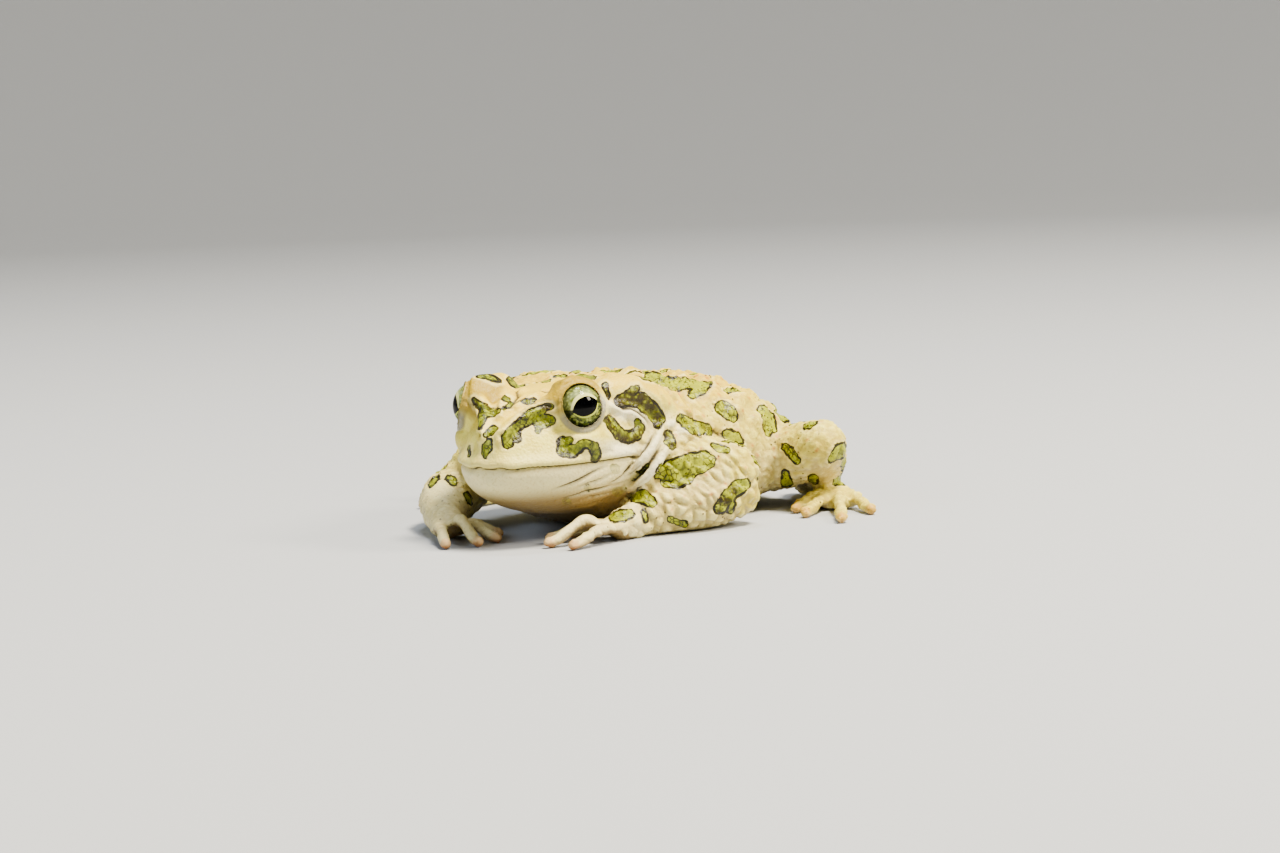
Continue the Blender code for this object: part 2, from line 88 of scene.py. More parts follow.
def aim_camera():
    """Place the camera so that the middle of the lip falls on its pixel."""
    turn, rise, tilt = (math.radians(v) for v in (AZIMUTH, ELEVATION, ROLL))
    back = Vector((math.sin(turn) * math.cos(rise), -math.cos(turn) * math.cos(rise), math.sin(rise)))
    right = Vector((math.cos(turn), math.sin(turn), 0))
    up = back.cross(right)
    right, up = (right * math.cos(tilt) - up * math.sin(tilt), right * math.sin(tilt) + up * math.cos(tilt))
    spot = LIP + back * DISTANCE
    aside = (IMAGE_WIDTH / 2 - LIP_PIXEL[0]) * DISTANCE / FOCAL_PIXELS
    above = (LIP_PIXEL[1] - IMAGE_HEIGHT / 2) * DISTANCE / FOCAL_PIXELS
    back = (spot - (LIP + right * aside + up * above)).normalized()
    right = up.cross(back).normalized()
    up = back.cross(right)
    place = Matrix((right, up, back)).transposed().to_4x4()
    place.translation = spot * MM + SHIFT
    data = bpy.data.cameras.new("camera")
    data.lens, data.sensor_width = LENS, SENSOR
    data.clip_start, data.clip_end = 0.05, 20.0
    camera = bpy.data.objects.new("camera", data)
    camera.matrix_world = place
    bpy.context.scene.collection.objects.link(camera)
    bpy.context.scene.camera = camera
    return spot, Matrix((right, up, back))


VIEWPOINT, VIEW_AXES = aim_camera()
VIEW = np.array(VIEW_AXES)
EYE_POINT = np.array(VIEWPOINT)
print("camera height above the floor, mm:", round(VIEWPOINT.z, 1))


def to_pixels(points):
    """Where points in mm show in the camera's picture."""
    seen = (points - EYE_POINT) @ VIEW.T
    depth = -seen[:, 2]
    return np.column_stack([
        IMAGE_WIDTH / 2 + FOCAL_PIXELS * seen[:, 0] / depth,
        IMAGE_HEIGHT / 2 - FOCAL_PIXELS * seen[:, 1] / depth,
    ])


def sight_line(pixel):
    """The direction from the camera through a pixel."""
    x = (pixel[0] - IMAGE_WIDTH / 2) / FOCAL_PIXELS
    y = (IMAGE_HEIGHT / 2 - pixel[1]) / FOCAL_PIXELS
    return Vector(VIEW.T @ np.array([x, y, -1.0])).normalized()


# %% [markdown]
# ## Shapes that melt together
# Soft animal forms are easiest to model as clay: balls, strings of balls and lofts are pushed into one
# another, and a voxel remesh melts them into one closed skin. The three helpers here are the same
# three forms that the solid model is made of, so the skin lies where the solids are.

# %% Clay: ball, chain and loft
SIDES = 64


def through(rows, at):
    """The rows' later columns at `at`, along a smooth curve through the rows."""
    table = np.array(rows, float)
    x, values = table[:, 0], table[:, 1:]
    slope = np.gradient(values, x, axis=0)
    i = int(np.clip(np.searchsorted(x, at) - 1, 0, len(x) - 2))
    span = x[i + 1] - x[i]
    t = float(np.clip((at - x[i]) / span, 0, 1))
    return (
        (2 * t**3 - 3 * t**2 + 1) * values[i]
        + (t**3 - 2 * t**2 + t) * span * slope[i]
        + (3 * t**2 - 2 * t**3) * values[i + 1]
        + (t**3 - t**2) * span * slope[i + 1]
    )


def ball(bm, centre, radius, detail=3, along=None):
    """A ball, or with three radii an ellipsoid whose third axis points along a direction."""
    radii = radius if isinstance(radius, (tuple, list)) else (radius,) * 3
    turn = Matrix()
    if along is not None:
        turn = Vector(along).to_track_quat("Z", "Y").to_matrix().to_4x4()
    place = Matrix.Translation(Vector(centre)) @ turn @ Matrix.Diagonal((*radii, 1.0))
    bmesh.ops.create_icosphere(bm, subdivisions=detail, radius=1.0, matrix=place)


def add_lump(bm, lump):
    """Add a small piece of clay to the whole, which is quicker than shaping it there."""
    mesh = bpy.data.meshes.new("lump")
    lump.to_mesh(mesh)
    lump.free()
    bm.from_mesh(mesh)
    bpy.data.meshes.remove(mesh)


def chain(bm, joints, detail=3):
    """A limb as closely strung balls on a smooth path through joints (x, y, z, radius)."""
    joints = np.array(joints, float)
    steps = np.linalg.norm(np.diff(joints[:, :3], axis=0), axis=1)
    rows = np.column_stack([np.concatenate([[0], np.cumsum(steps)]), joints])
    lump = bmesh.new()
    at = 0.0
    while at <= rows[-1, 0]:
        x, y, z, r = through(rows, at)
        ball(lump, (x, y, z), r, detail)
        at += 0.3 * r
    ball(lump, joints[-1, :3], joints[-1, 3], detail)
    add_lump(bm, lump)


def loft(bm, sections):
    """A closed body through upright cross-sections, rounded like a soft rectangle."""
    rings = []
    for y, half, widest, top, bottom, round_top, round_bottom in sections:
        ring = bmesh.ops.create_circle(bm, cap_ends=False, radius=1.0, segments=SIDES)["verts"]
        for vert in ring:
            c, s = vert.co.x, vert.co.y
            power, reach = (round_top, top - widest) if s > 0 else (round_bottom, widest - bottom)
            x = half * math.copysign(abs(c) ** (2 / power), c)
            vert.co = (x, y, widest + reach * math.copysign(abs(s) ** (2 / power), s))
        rings.append(ring)
    for ring, following in zip(rings, rings[1:]):
        edges = {edge for vert in ring + following for edge in vert.link_edges}
        loops = [e for e in edges if set(e.verts) <= set(ring) or set(e.verts) <= set(following)]
        bmesh.ops.bridge_loops(bm, edges=loops)
    for ring in (rings[0], rings[-1]):
        bmesh.ops.contextual_create(bm, geom=ring)
    bmesh.ops.recalc_face_normals(bm, faces=bm.faces)


# %% [markdown]
# ## The body
# A gravid toad spreads where it lies: the widest point is low and far back, the belly is flat and the
# top stays broad. Ten cross-sections give that, and the swollen glands behind the eyes, the shoulders,
# the hips and the folds behind the gape are pushed in as clay. The toad hunches its right shoulder, so
# the back bulges more on that side.

# %% Body
# Cross-sections: y, half width, widest height, top, bottom, roundness above and below
BODY = [
    (15, 10.5, 15.0, 25.0, 7.5, 2.6, 2.4),
    (20, 16.5, 15.0, 27.6, 4.0, 2.9, 2.5),
    (27, 19.5, 14.5, 28.4, 1.4, 2.9, 2.6),
    (36, 21.3, 12.5, 28.3, 0.2, 2.8, 2.6),
    (48, 24.6, 11.0, 28.2, -0.2, 2.6, 2.6),
    (58, 26.6, 10.5, 27.4, -0.2, 2.5, 2.6),
    (67, 26.2, 10.5, 25.2, -0.1, 2.4, 2.5),
    (75, 22.4, 10.5, 21.4, 0.4, 2.3, 2.3),
    (81, 15.8, 10.0, 17.2, 2.4, 2.1, 2.1),
    (86, 6.0, 9.5, 12.6, 6.2, 2.0, 2.0),
]
# The gland behind the eye and the folds of skin below it: x, y, z, radius along the left side
GLAND = [(12.2, 18.8, 27.4, 2.7), (14.3, 23.8, 26.8, 3.6), (16.8, 28.6, 24.2, 3.6), (18.2, 31.2, 21.4, 2.7)]
NECK_FOLDS = [
    [(19.5, 29.6, 21.0, 1.5), (19.4, 26.4, 19.6, 1.3), (19.0, 24.0, 17.4, 1.3), (18.4, 22.0, 15.2, 1.2),
     (17.5, 20.6, 13.2, 1.0)],
    [(21.0, 27.0, 17.0, 1.5), (20.4, 24.4, 15.2, 1.5), (19.6, 22.6, 13.2, 1.3), (18.0, 21.5, 11.0, 1.1),
     (16.1, 20.8, 9.0, 0.9)],
    [(21.8, 31.6, 18.4, 1.7), (21.7, 29.6, 16.8, 1.4)],
]
HEAD_FOLDS = [
    [(14.4, 15.0, 25.2, 0.8), (15.7, 18.6, 24.5, 0.9), (17.1, 22.2, 23.0, 1.0), (17.9, 24.6, 21.2, 0.9)],
    [(13.6, 13.6, 22.8, 1.4), (14.7, 16.2, 20.2, 1.7), (15.1, 19.2, 18.7, 1.7), (16.7, 21.6, 19.4, 1.4)],
]


def add_body(bm):
    loft(bm, [(y, *through(BODY, y)) for y in np.linspace(15, 86, 61)])
    for side in (1, -1):
        ball(bm, (side * 13, 27, 14), (5.6, 6.5, 6.5), 4)
        ball(bm, (side * 10, 73, 10.5), (9, 8.5, 8.5), 4)
        for fold in [GLAND] + NECK_FOLDS:
            chain(bm, [(side * x, y, z, r) for x, y, z, r in fold])
    ball(bm, (-14, 41, 20.4), (12.5, 16, 8.6), 4)


# %% [markdown]
# ## The head
# From above it is a blunt arch, from the side a short snout that rises to heavy brows. The brows are
# domes over the eyeballs, a ring of small balls makes the rim of the lids, and a low ridge runs from
# each brow to the nostril. Two soft rims follow the gape, with the line of the mouth between them.

# %% Head
HEAD_HALF_WIDTH = 16.3
SNOUT_TIP = -5.0
GAPE = 21.4
MOUTH_HEIGHT = 15.1
LID_FORWARD, LID_RADIUS = 1.6, 4.8
NOSTRIL = Vector((2.6, -4.3, 21.6))
NOSTRIL_MOUND = (2.0, -3.3, 21.4)
SNOUT_RIDGE = [(8.0, 5.8, 27.2, 1.6), (5.2, 2.2, 25.3, 1.4), (2.9, -1.2, 23.2, 1.2), (2.2, -3.2, 21.7, 1.1)]

# Side view: y, top, bottom, roundness above
PROFILE = [
    (-5.0, 18.0, 13.0, 1.9),
    (-4.6, 20.0, 12.0, 1.9),
    (-3.6, 21.6, 10.9, 1.8),
    (-2.0, 23.0, 9.9, 1.7),
    (0.5, 24.6, 8.7, 1.7),
    (3.5, 26.2, 7.6, 1.8),
    (7.0, 27.5, 6.4, 2.1),
    (11.0, 28.0, 5.2, 2.4),
    (18.0, 28.4, 4.1, 2.7),
    (24.0, 28.6, 3.7, 2.8),
    (29.0, 28.4, 3.5, 2.8),
]


def half_width(y):
    """Half the head's width at the lips, in plan a blunt arch that runs straight past the gape."""
    t = np.clip((np.asarray(y, float) - SNOUT_TIP) / (GAPE - SNOUT_TIP), 0.0, 1.0)
    return HEAD_HALF_WIDTH * (1 - (1 - t) ** 1.8) ** (1 / 1.8)


def mouth_height(x):
    """The line of the mouth: nearly level, with a small wave each side of the middle."""
    away = np.abs(x)
    crest = 0.28 * np.exp(-(((away - 2.4) / 1.2) ** 2))
    dip = 0.12 * np.exp(-(((away - 4.6) / 1.3) ** 2))
    return MOUTH_HEIGHT + crest - dip + 0.15 * np.exp(-(((away - 8.0) / 2.0) ** 2))


def lip(bm, radius, above, inset):
    """A rounded rim along the whole gape, one side to the other round the snout."""
    for side in (1, -1):
        joints = []
        for t in np.linspace(0, 1, 14) ** 2:
            y = SNOUT_TIP + t * (GAPE - 1.5 - SNOUT_TIP)
            x = side * max(half_width(y) - inset, 0.0)
            joints.append((x, max(y, SNOUT_TIP + inset), mouth_height(x) + above, radius))
        chain(bm, joints, 2)


def eye_frame(side):
    """An eye's centre, its axis, and the across and up directions of its opening."""
    centre = Vector((side * EYE_CENTRE.x, EYE_CENTRE.y, EYE_CENTRE.z))
    axis = Vector((side * EYE_AXIS.x, EYE_AXIS.y, EYE_AXIS.z))
    across = axis.cross(Vector((0, 0, 1))).normalized()
    return centre, axis, across, across.cross(axis).normalized()


def add_head(bm):
    behind_tip = [0.05, 0.35, 0.9, 1.8, 3.0, 4.6, 6.6, 9.0, 11.6, 14.6, 18.0, 21.8, 26.4, 30.0, 34.0]
    sections = []
    for step in behind_tip:
        y = SNOUT_TIP + step
        top, bottom, round_top = through(PROFILE, y)
        sections.append((y, float(half_width(y)), MOUTH_HEIGHT, top, bottom, round_top, 2.2))
    loft(bm, sections)
    for side in (1, -1):
        centre, axis, across, up = eye_frame(side)
        ball(bm, (side * 9.9, 10.9, 25.2), (5.6, 7.2, 6.0), 4)
        ball(bm, (side * 11.6, 13.0, 19.4), (4.4, 8.0, 4.6), 4)
        ball(bm, (side * 15.1, 18.0, 22.3), (2.2, 2.5, 1.1), 3, (side, -0.1, 0.35))
        x, y, z = NOSTRIL_MOUND
        ball(bm, (side * x, y, z), 1.3)
        for fold in [SNOUT_RIDGE] + HEAD_FOLDS:
            chain(bm, [(side * x, y, z, r) for x, y, z, r in fold])
        rim = bmesh.new()
        for a in np.linspace(0, 2 * math.pi, 60, endpoint=False):
            at = centre + axis * LID_FORWARD + (across * math.cos(a) + up * math.sin(a)) * LID_RADIUS
            ball(rim, at, 0.7 - 0.2 * math.sin(a), 2)
        add_lump(bm, rim)
    lip(bm, 1.2, 1.1, 0.8)
    lip(bm, 1.1, -1.1, 1.2)


# %% [markdown]
# ## The limbs
# Each limb is a string of balls through its joints, thick at the muscle and narrow at the wrist. The
# forelimbs are folded differently, as a resting toad holds them. The hind limbs are tucked in a Z
# along the flanks, with the long fourth toe pointing ahead.

# %% Limbs
LEFT_UPPER_ARM = [(12, 25, 13.6, 6.4), (21, 32.5, 12.2, 6.3), (26.6, 39.5, 10.2, 6.0)]
LEFT_FOREARM = [(27.0, 39.6, 6.6, 5.6), (24.4, 33.5, 6.0, 6.0), (20.6, 27, 5.2, 5.2), (17.4, 21.4, 3.8, 3.8)]
RIGHT_UPPER_ARM = [(-12, 25, 13.4, 6.4), (-21, 28.2, 10.8, 6.0), (-27.2, 31, 7.9, 5.4)]
RIGHT_FOREARM = [(-27.4, 31, 6.4, 5.0), (-26.6, 24.5, 5.9, 5.6), (-24.2, 18.4, 5.0, 4.9), (-21.8, 13.2, 3.8, 3.7)]
THIGH = [(9, 72, 10, 7.6), (19, 68.5, 9.4, 7.0), (29, 65, 10.8, 6.0), (35.4, 62.5, 13.0, 5.1)]
SHANK = [(35.4, 62.7, 12.2, 4.6), (31.4, 70, 9.2, 5.3), (25.8, 77.2, 6.5, 4.4), (21.5, 83.5, 4.4, 3.4)]
TARSUS = [(21.5, 83.8, 3.3, 3.2), (26.5, 79.5, 2.7, 2.7), (31.5, 74.5, 2.6, 2.7), (34, 71, 2.3, 2.4)]
FINGER, TOE = 1.2, 1.25
DIGIT_TIPS = []
LEFT_HEADING, RIGHT_HEADING, FOOT_HEADING = math.radians(-15), math.radians(40), math.radians(27)

# Digits in the foot's own plane: start (ahead, inward), tip (ahead, inward), height of the knuckle
FINGERS = [
    ((7.6, -2.0), (21.4, -2.6), 3.0),
    ((8.4, 0.0), (21.5, 3.6), 4.4),
    ((7.6, 1.8), (17.0, 7.8), 3.2),
    ((5.0, 2.8), (10.4, 9.2), 2.6),
]
TOES = [
    ((0, 2.2), (6.5, 7.6), 2.0),
    ((0.5, 1.2), (11.5, 8.0), 2.1),
    ((1, 0.3), (18.6, 6.2), 2.3),
    ((1, -0.8), (28.0, -0.5), 2.5),
    ((0, -2), (17.0, -6.6), 2.2),
]


def digits(bm, root, heading, side, rows, thick):
    """Slim digits that arch a little, swell at the joints and come down on rounded tips."""
    ahead = Vector((math.sin(heading), -math.cos(heading), 0))
    inward = Vector((ahead.y, -ahead.x, 0)) * side
    spread = []
    for (a0, i0), (a1, i1), knuckle in rows:
        start = root + ahead * a0 + inward * i0
        tip = root + ahead * a1 + inward * i1
        joints = []
        for t, z, wide in ((0, 2.4, 1.25), (0.22, 0.5 * knuckle + 1.3, 1.0), (0.42, knuckle, 1.16),
                           (0.58, 0.75 * knuckle + 0.25, 0.94), (0.76, 0.35 * knuckle + 0.6, 1.06),
                           (0.9, 1.15, 0.94), (1, 1.1, 1.0)):
            p = start.lerp(tip, t)
            joints.append((p.x, p.y, z, thick * wide))
        chain(bm, joints, 2)
        spread.append((start, tip))
        DIGIT_TIPS.append((tip.x, tip.y, 1.1))
    return spread


def web(bm, first, second, reach):
    """A thin web of skin between two neighbouring toes."""
    points = []
    for start, tip in (first, second):
        for t in (0.0, reach):
            p = start.lerp(tip, t)
            points += [(p.x, p.y, 0.3), (p.x, p.y, 1.7 - 0.4 * t)]
    verts = [bm.verts.new(point) for point in points]
    bmesh.ops.convex_hull(bm, input=verts)


def add_hand(bm, side, wrist, heading):
    ahead = Vector((math.sin(heading), -math.cos(heading), 0))
    inward = Vector((ahead.y, -ahead.x, 0)) * side
    root = Vector((wrist[0], wrist[1], 0))
    palm = root + ahead * 5.5
    chain(bm, [(root.x, root.y, 3.6, 3.5), (palm.x, palm.y, 2.8, 3.1)])
    for a, i, r in ((2.5, -0.8, 1.9), (4.5, 2.6, 1.5)):
        at = root + ahead * a + inward * i
        ball(bm, (at.x, at.y, 1.6), r)
    digits(bm, root, heading, side, FINGERS, FINGER)


def add_foot(bm, side):
    chain(bm, [(side * x, y, z, r) for x, y, z, r in TARSUS])
    root = Vector((side * 34, 71, 0))
    toes = digits(bm, root, side * FOOT_HEADING, side, TOES, TOE)
    for first, second in zip(toes, toes[1:]):
        web(bm, first, second, 0.38)
    ball(bm, (side * 31.0, 70.0, 1.3), 1.2, 2)


def add_limbs(bm):
    for joints in (LEFT_UPPER_ARM, LEFT_FOREARM, RIGHT_UPPER_ARM, RIGHT_FOREARM):
        chain(bm, joints)
    add_hand(bm, 1, LEFT_FOREARM[-1], LEFT_HEADING)
    add_hand(bm, -1, RIGHT_FOREARM[-1], RIGHT_HEADING)
    for side in (1, -1):
        for joints in (THIGH, SHANK):
            chain(bm, [(side * x, y, z, r) for x, y, z, r in joints])
        add_foot(bm, side)


# %% [markdown]
# ## Warts that shape the outline
# The largest warts stand out of the back and limbs far enough to show in the outline, so they are part
# of the clay. They are drawn from a seed over the smooth body and along each limb, and keep clear of
# each other, as real ones do.

# %% Large warts
BACK_WARTS = (3, 80, 1.5, 2.4)
UPPER_ARM_WARTS = (11, 9, 1.0, 1.5)
FOREARM_WARTS = (12, 10, 1.0, 1.5)
THIGH_WARTS = (13, 14, 1.1, 1.7)
SHANK_WARTS = (14, 10, 1.0, 1.5)


def body_point(y, turn):
    """A point of the body's surface, by how far back it lies and the turn from the left side over the back."""
    half, widest, top, _, above, _ = through(BODY, y)
    x = half * math.copysign(abs(math.cos(turn)) ** (2 / above), math.cos(turn))
    return Vector((x, y, widest + (top - widest) * math.sin(turn) ** (2 / above)))


def body_place(rng):
    """A random place on the back and the way out from it."""
    y, turn = rng.uniform(32, 82), rng.uniform(0.1, 0.9) * math.pi
    at = body_point(y, turn)
    across = body_point(y, turn + 0.02) - at
    return at, across.cross(body_point(y + 0.1, turn) - at).normalized()


def limb_place(rng, joints):
    """A random place on the upper side of a limb and the way out from it."""
    joints = np.array(joints, float)
    rows = np.column_stack([np.arange(len(joints)), joints])
    t = rng.uniform(0.1, len(joints) - 1.1)
    x, y, z, r = through(rows, t)
    run = Vector(through(rows, t + 0.05)[:3] - (x, y, z)).normalized()
    out = Vector(rng.normal(size=3))
    out = (out - out.dot(run) * run).normalized()
    if out.z < -0.1:
        out = -out
    return Vector((x, y, z)) + out * r, out


def add_warts(bm, place, seed, count, low, high):
    """Low round warts at places drawn by `place` that keep clear of each other."""
    rng = np.random.default_rng(seed)
    found = []
    lump = bmesh.new()
    for _ in range(count * 40):
        at, out = place(rng)
        radius = rng.uniform(low, high)
        if len(found) < count and all((at - other).length > 1.2 * (radius + r) for other, r in found):
            found.append((at, radius))
            ball(lump, at - out * radius * 0.1, (radius, radius, radius * 0.42), 2, out)
    add_lump(bm, lump)


def add_large_warts(bm):
    add_warts(bm, body_place, *BACK_WARTS)
    limbs = [
        (LEFT_UPPER_ARM, UPPER_ARM_WARTS),
        (LEFT_FOREARM, FOREARM_WARTS),
        (RIGHT_UPPER_ARM, UPPER_ARM_WARTS),
        (RIGHT_FOREARM, FOREARM_WARTS),
    ]
    for side in (1, -1):
        limbs += [([(side * x, y, z, r) for x, y, z, r in joints], warts)
                  for joints, warts in ((THIGH, THIGH_WARTS), (SHANK, SHANK_WARTS))]
    for joints, warts in limbs:
        add_warts(bm, lambda rng: limb_place(rng, joints), *warts)


# %% [markdown]
# ## One skin
# The voxel remesh melts all the clay into one skin, and a smooth pass takes the steps of the grid
# away. A finer grid everywhere would be heavy, so only what is looked at closely is subdivided again:
# the head, with its lids and lips, and the left forelimb.

# %% Melt the clay into one skin
VOXEL = 0.675


def melt(name, bm, voxel, rounds):
    mesh = bpy.data.meshes.new(name)
    bm.to_mesh(mesh)
    bm.free()
    obj = bpy.data.objects.new(name, mesh)
    bpy.context.scene.collection.objects.link(obj)
    remesh = obj.modifiers.new("melt", "REMESH")
    remesh.mode = "VOXEL"
    remesh.voxel_size = voxel
    soften = obj.modifiers.new("soften", "SMOOTH")
    soften.factor = 0.5
    soften.iterations = rounds
    graph = bpy.context.evaluated_depsgraph_get()
    baked = bpy.data.meshes.new_from_object(obj.evaluated_get(graph))
    obj.modifiers.clear()
    obj.data = baked
    return obj


clay = bmesh.new()
add_body(clay)
add_head(clay)
add_limbs(clay)
add_large_warts(clay)
skin = melt("skin", clay, VOXEL, 3)
print("skin faces after the melt:", len(skin.data.polygons))


def worth_detail(at):
    """The head and the left forelimb, which are seen from close by."""
    head = at.y < 20 and at.z > 8
    gland = 20 <= at.y < 31 and at.x > 6 and at.z > 12
    arm = at.x > 12 and at.y < 42 and at.x + 0.5 * at.y > 22
    return head or gland or arm


bm = bmesh.new()
bm.from_mesh(skin.data)
fine = [edge for edge in bm.edges if all(worth_detail(vert.co) for vert in edge.verts)]
bmesh.ops.subdivide_edges(bm, edges=fine, cuts=1, use_grid_fill=True)
eyes_at = [eye_frame(side)[0] + eye_frame(side)[1] * 3 for side in (1, -1)]
rims = [e for e in bm.edges if all(min((v.co - at).length for at in eyes_at) < 5.6 for v in e.verts)]
bmesh.ops.subdivide_edges(bm, edges=rims, cuts=1, use_grid_fill=True)
close = [vert for vert in bm.verts if worth_detail(vert.co)]
bmesh.ops.smooth_vert(bm, verts=close, factor=0.5, use_axis_x=True, use_axis_y=True, use_axis_z=True)
bm.to_mesh(skin.data)
bm.free()
print("skin faces:", len(skin.data.polygons), "triangles:", sum(len(f.vertices) - 2 for f in skin.data.polygons))

# %% [markdown]
# ## Sculpting in code
# A brush in the sculpt editor moves points along their normals, and so does `push`: it takes how far
# each point moves. Numpy works out that distance for all points at once.

# %% A brush


def points_of(obj):
    flat = np.empty(len(obj.data.vertices) * 3, np.float32)
    obj.data.vertices.foreach_get("co", flat)
    return flat.reshape(-1, 3).astype(float)


def normals_of(obj):
    flat = np.empty(len(obj.data.vertices) * 3, np.float32)
    obj.data.vertices.foreach_get("normal", flat)
    return flat.reshape(-1, 3).astype(float)


def place_points(obj, points):
    obj.data.vertices.foreach_set("co", points.astype(np.float32).ravel())
    obj.data.update()


def push(obj, amount):
    place_points(obj, points_of(obj) + normals_of(obj) * np.asarray(amount)[:, None])


def smooth_step(value, low, high):
    t = np.clip((value - low) / (high - low), 0, 1)
    return t * t * (3 - 2 * t)


def path_distance(points, path):
    """How far each point is from a path of straight pieces, and how far along it, from 0 to 1."""
    path = np.array(path, float)
    best, along = np.full(len(points), 1e9), np.zeros(len(points))
    for i, (a, b) in enumerate(zip(path, path[1:])):
        run = b - a
        t = np.clip((points - a) @ run / (run @ run), 0, 1)
        gap = np.linalg.norm(points - a - t[:, None] * run, axis=1)
        nearer = gap < best
        best[nearer] = gap[nearer]
        along[nearer] = ((i + t) / (len(path) - 1))[nearer]
    return best, along


# %% [markdown]
# ## Eye openings
# The skin inside each ring of lid is pushed back behind the surface of the eyeball, so the rim of the
# lid closes on the wet eye all round.

# %% Eye openings
OPENING_WIDE, OPENING_TALL = 4.15, 4.2

points = points_of(skin)
for side in (1, -1):
    centre, axis, across, up = (np.array(v) for v in eye_frame(side))
    out = points - centre
    ahead = out @ axis
    part = np.sqrt((out @ across / OPENING_WIDE) ** 2 + (out @ up / OPENING_TALL) ** 2)
    rim = (ahead > 0) & (np.abs(part - 1) < 0.07)
    aside = out[rim] - ahead[rim, None] * axis
    points[rim] += aside * (1 / part[rim] - 1)[:, None]
    inside = (part < 0.97) & (ahead > 0) & ~rim
    aside = np.linalg.norm(out - ahead[:, None] * axis, axis=1)[inside]
    depth = np.sqrt(np.maximum((EYE_RADIUS - 0.6) ** 2 - aside**2, 0.2))
    points[inside] += (depth - ahead[inside])[:, None] * axis
place_points(skin, points)
print("points pushed behind the eyeballs:", int(inside.sum()))

# %% [markdown]
# The lower lid is a broad pale roll and the upper one a thin rim. Outside them runs a fine furrow, where
# the lids fold when the eye shuts, and above it the hood of the brow, which is ochre. All three are
# kept as fields for the material.

# %% Lids
LID_LOW_REACH, LID_HIGH_REACH = 5.4, 4.75

points = points_of(skin)
lid, hood, furrow = (np.zeros(len(points)) for _ in range(3))
for side in (1, -1):
    centre, axis, across, up = (np.array(v) for v in eye_frame(side))
    out = points - centre
    ahead = out @ axis
    reach = np.linalg.norm(out - ahead[:, None] * axis, axis=1)
    height = out @ up / np.maximum(reach, 0.1)
    front = out @ across * side / np.maximum(reach, 0.1)
    in_front = smooth_step(ahead, -0.5, 1.0)
    outer = LID_LOW_REACH + (LID_HIGH_REACH - LID_LOW_REACH) * smooth_step(height, -0.1, 0.7)
    above_eye = smooth_step(height + 0.5 * front, -0.1, 0.35)
    roll = in_front * (1 - smooth_step(reach - outer, -0.35, 0.1))
    lid = np.maximum(lid, roll * (1 - 0.85 * above_eye))
    over = smooth_step(ahead, -4.5, -2.5) * above_eye
    hood = np.maximum(hood, over * (1 - smooth_step(reach - outer, 1.4, 2.6)))
    furrow = np.maximum(furrow, in_front * np.exp(-(((reach - outer) / 0.35) ** 2)))
push(skin, -0.28 * furrow)

# %% [markdown]
# ## The line of the mouth and the nostrils
# The closed mouth is a fine groove that starts at the middle of the snout and ends in a small upturned
# corner below the eye's back edge. The nostrils are shallow slanting pits with a soft rim.

# %% Mouth and nostrils
GROOVE_DEPTH, GROOVE_WIDTH = 0.8, 0.32

points, normals = points_of(skin), normals_of(skin)
height = points[:, 2] - mouth_height(points[:, 0])
on_front = (points[:, 1] < GAPE + 1.5) & (np.abs(points[:, 0]) < 17.5)
fade = 1 - smooth_step(points[:, 1], GAPE - 2.0, GAPE + 1.0)
groove = GROOVE_DEPTH * np.exp(-((height / GROOVE_WIDTH) ** 2)) * fade * on_front
groove *= smooth_step(np.hypot(normals[:, 0], normals[:, 1]), 0.3, 0.7)
overhang = 0.25 * np.exp(-(((height - 0.9) / 0.7) ** 2)) * fade * on_front
push(skin, overhang - groove)
# Painted shade: the mouth groove is darkened in the skin's colour.
mouth_groove_shade = np.exp(-(((height - 0.05) / 0.24) ** 2)) * fade * on_front

points = points_of(skin)
pit, nostril_shade = np.zeros(len(points)), np.zeros(len(points))
for side in (1, -1):
    at = np.array((side * NOSTRIL.x, NOSTRIL.y, NOSTRIL.z))
    slant = np.array((side * 0.55, 0.25, 0.8))
    slant /= np.linalg.norm(slant)
    gap = points - at
    along = gap @ slant
    gap = np.sqrt(np.maximum((gap**2).sum(axis=1) - 0.55 * along**2, 0))
    pit += 0.28 * np.exp(-(((gap - 0.95) / 0.35) ** 2)) - 0.9 * np.exp(-((gap / 0.5) ** 2))
    # Painted shade: the nostril pits are darkened in the skin's colour.
    nostril_shade += np.exp(-((gap / 0.45) ** 4))
push(skin, pit)

# %% [markdown]
# ## Ear, folds and creases
# The ear shows as a round drum just behind the eye: a shallow dish with a soft rim. Behind the gape
# the loose skin of the neck hangs in folds, and fine wrinkles fan out over the throat and in the crook
# of the arm, where the skin bunches when the limb is folded.

# %% Ear and creases
EARDRUM = np.array((15.6, 18.0, 22.5))

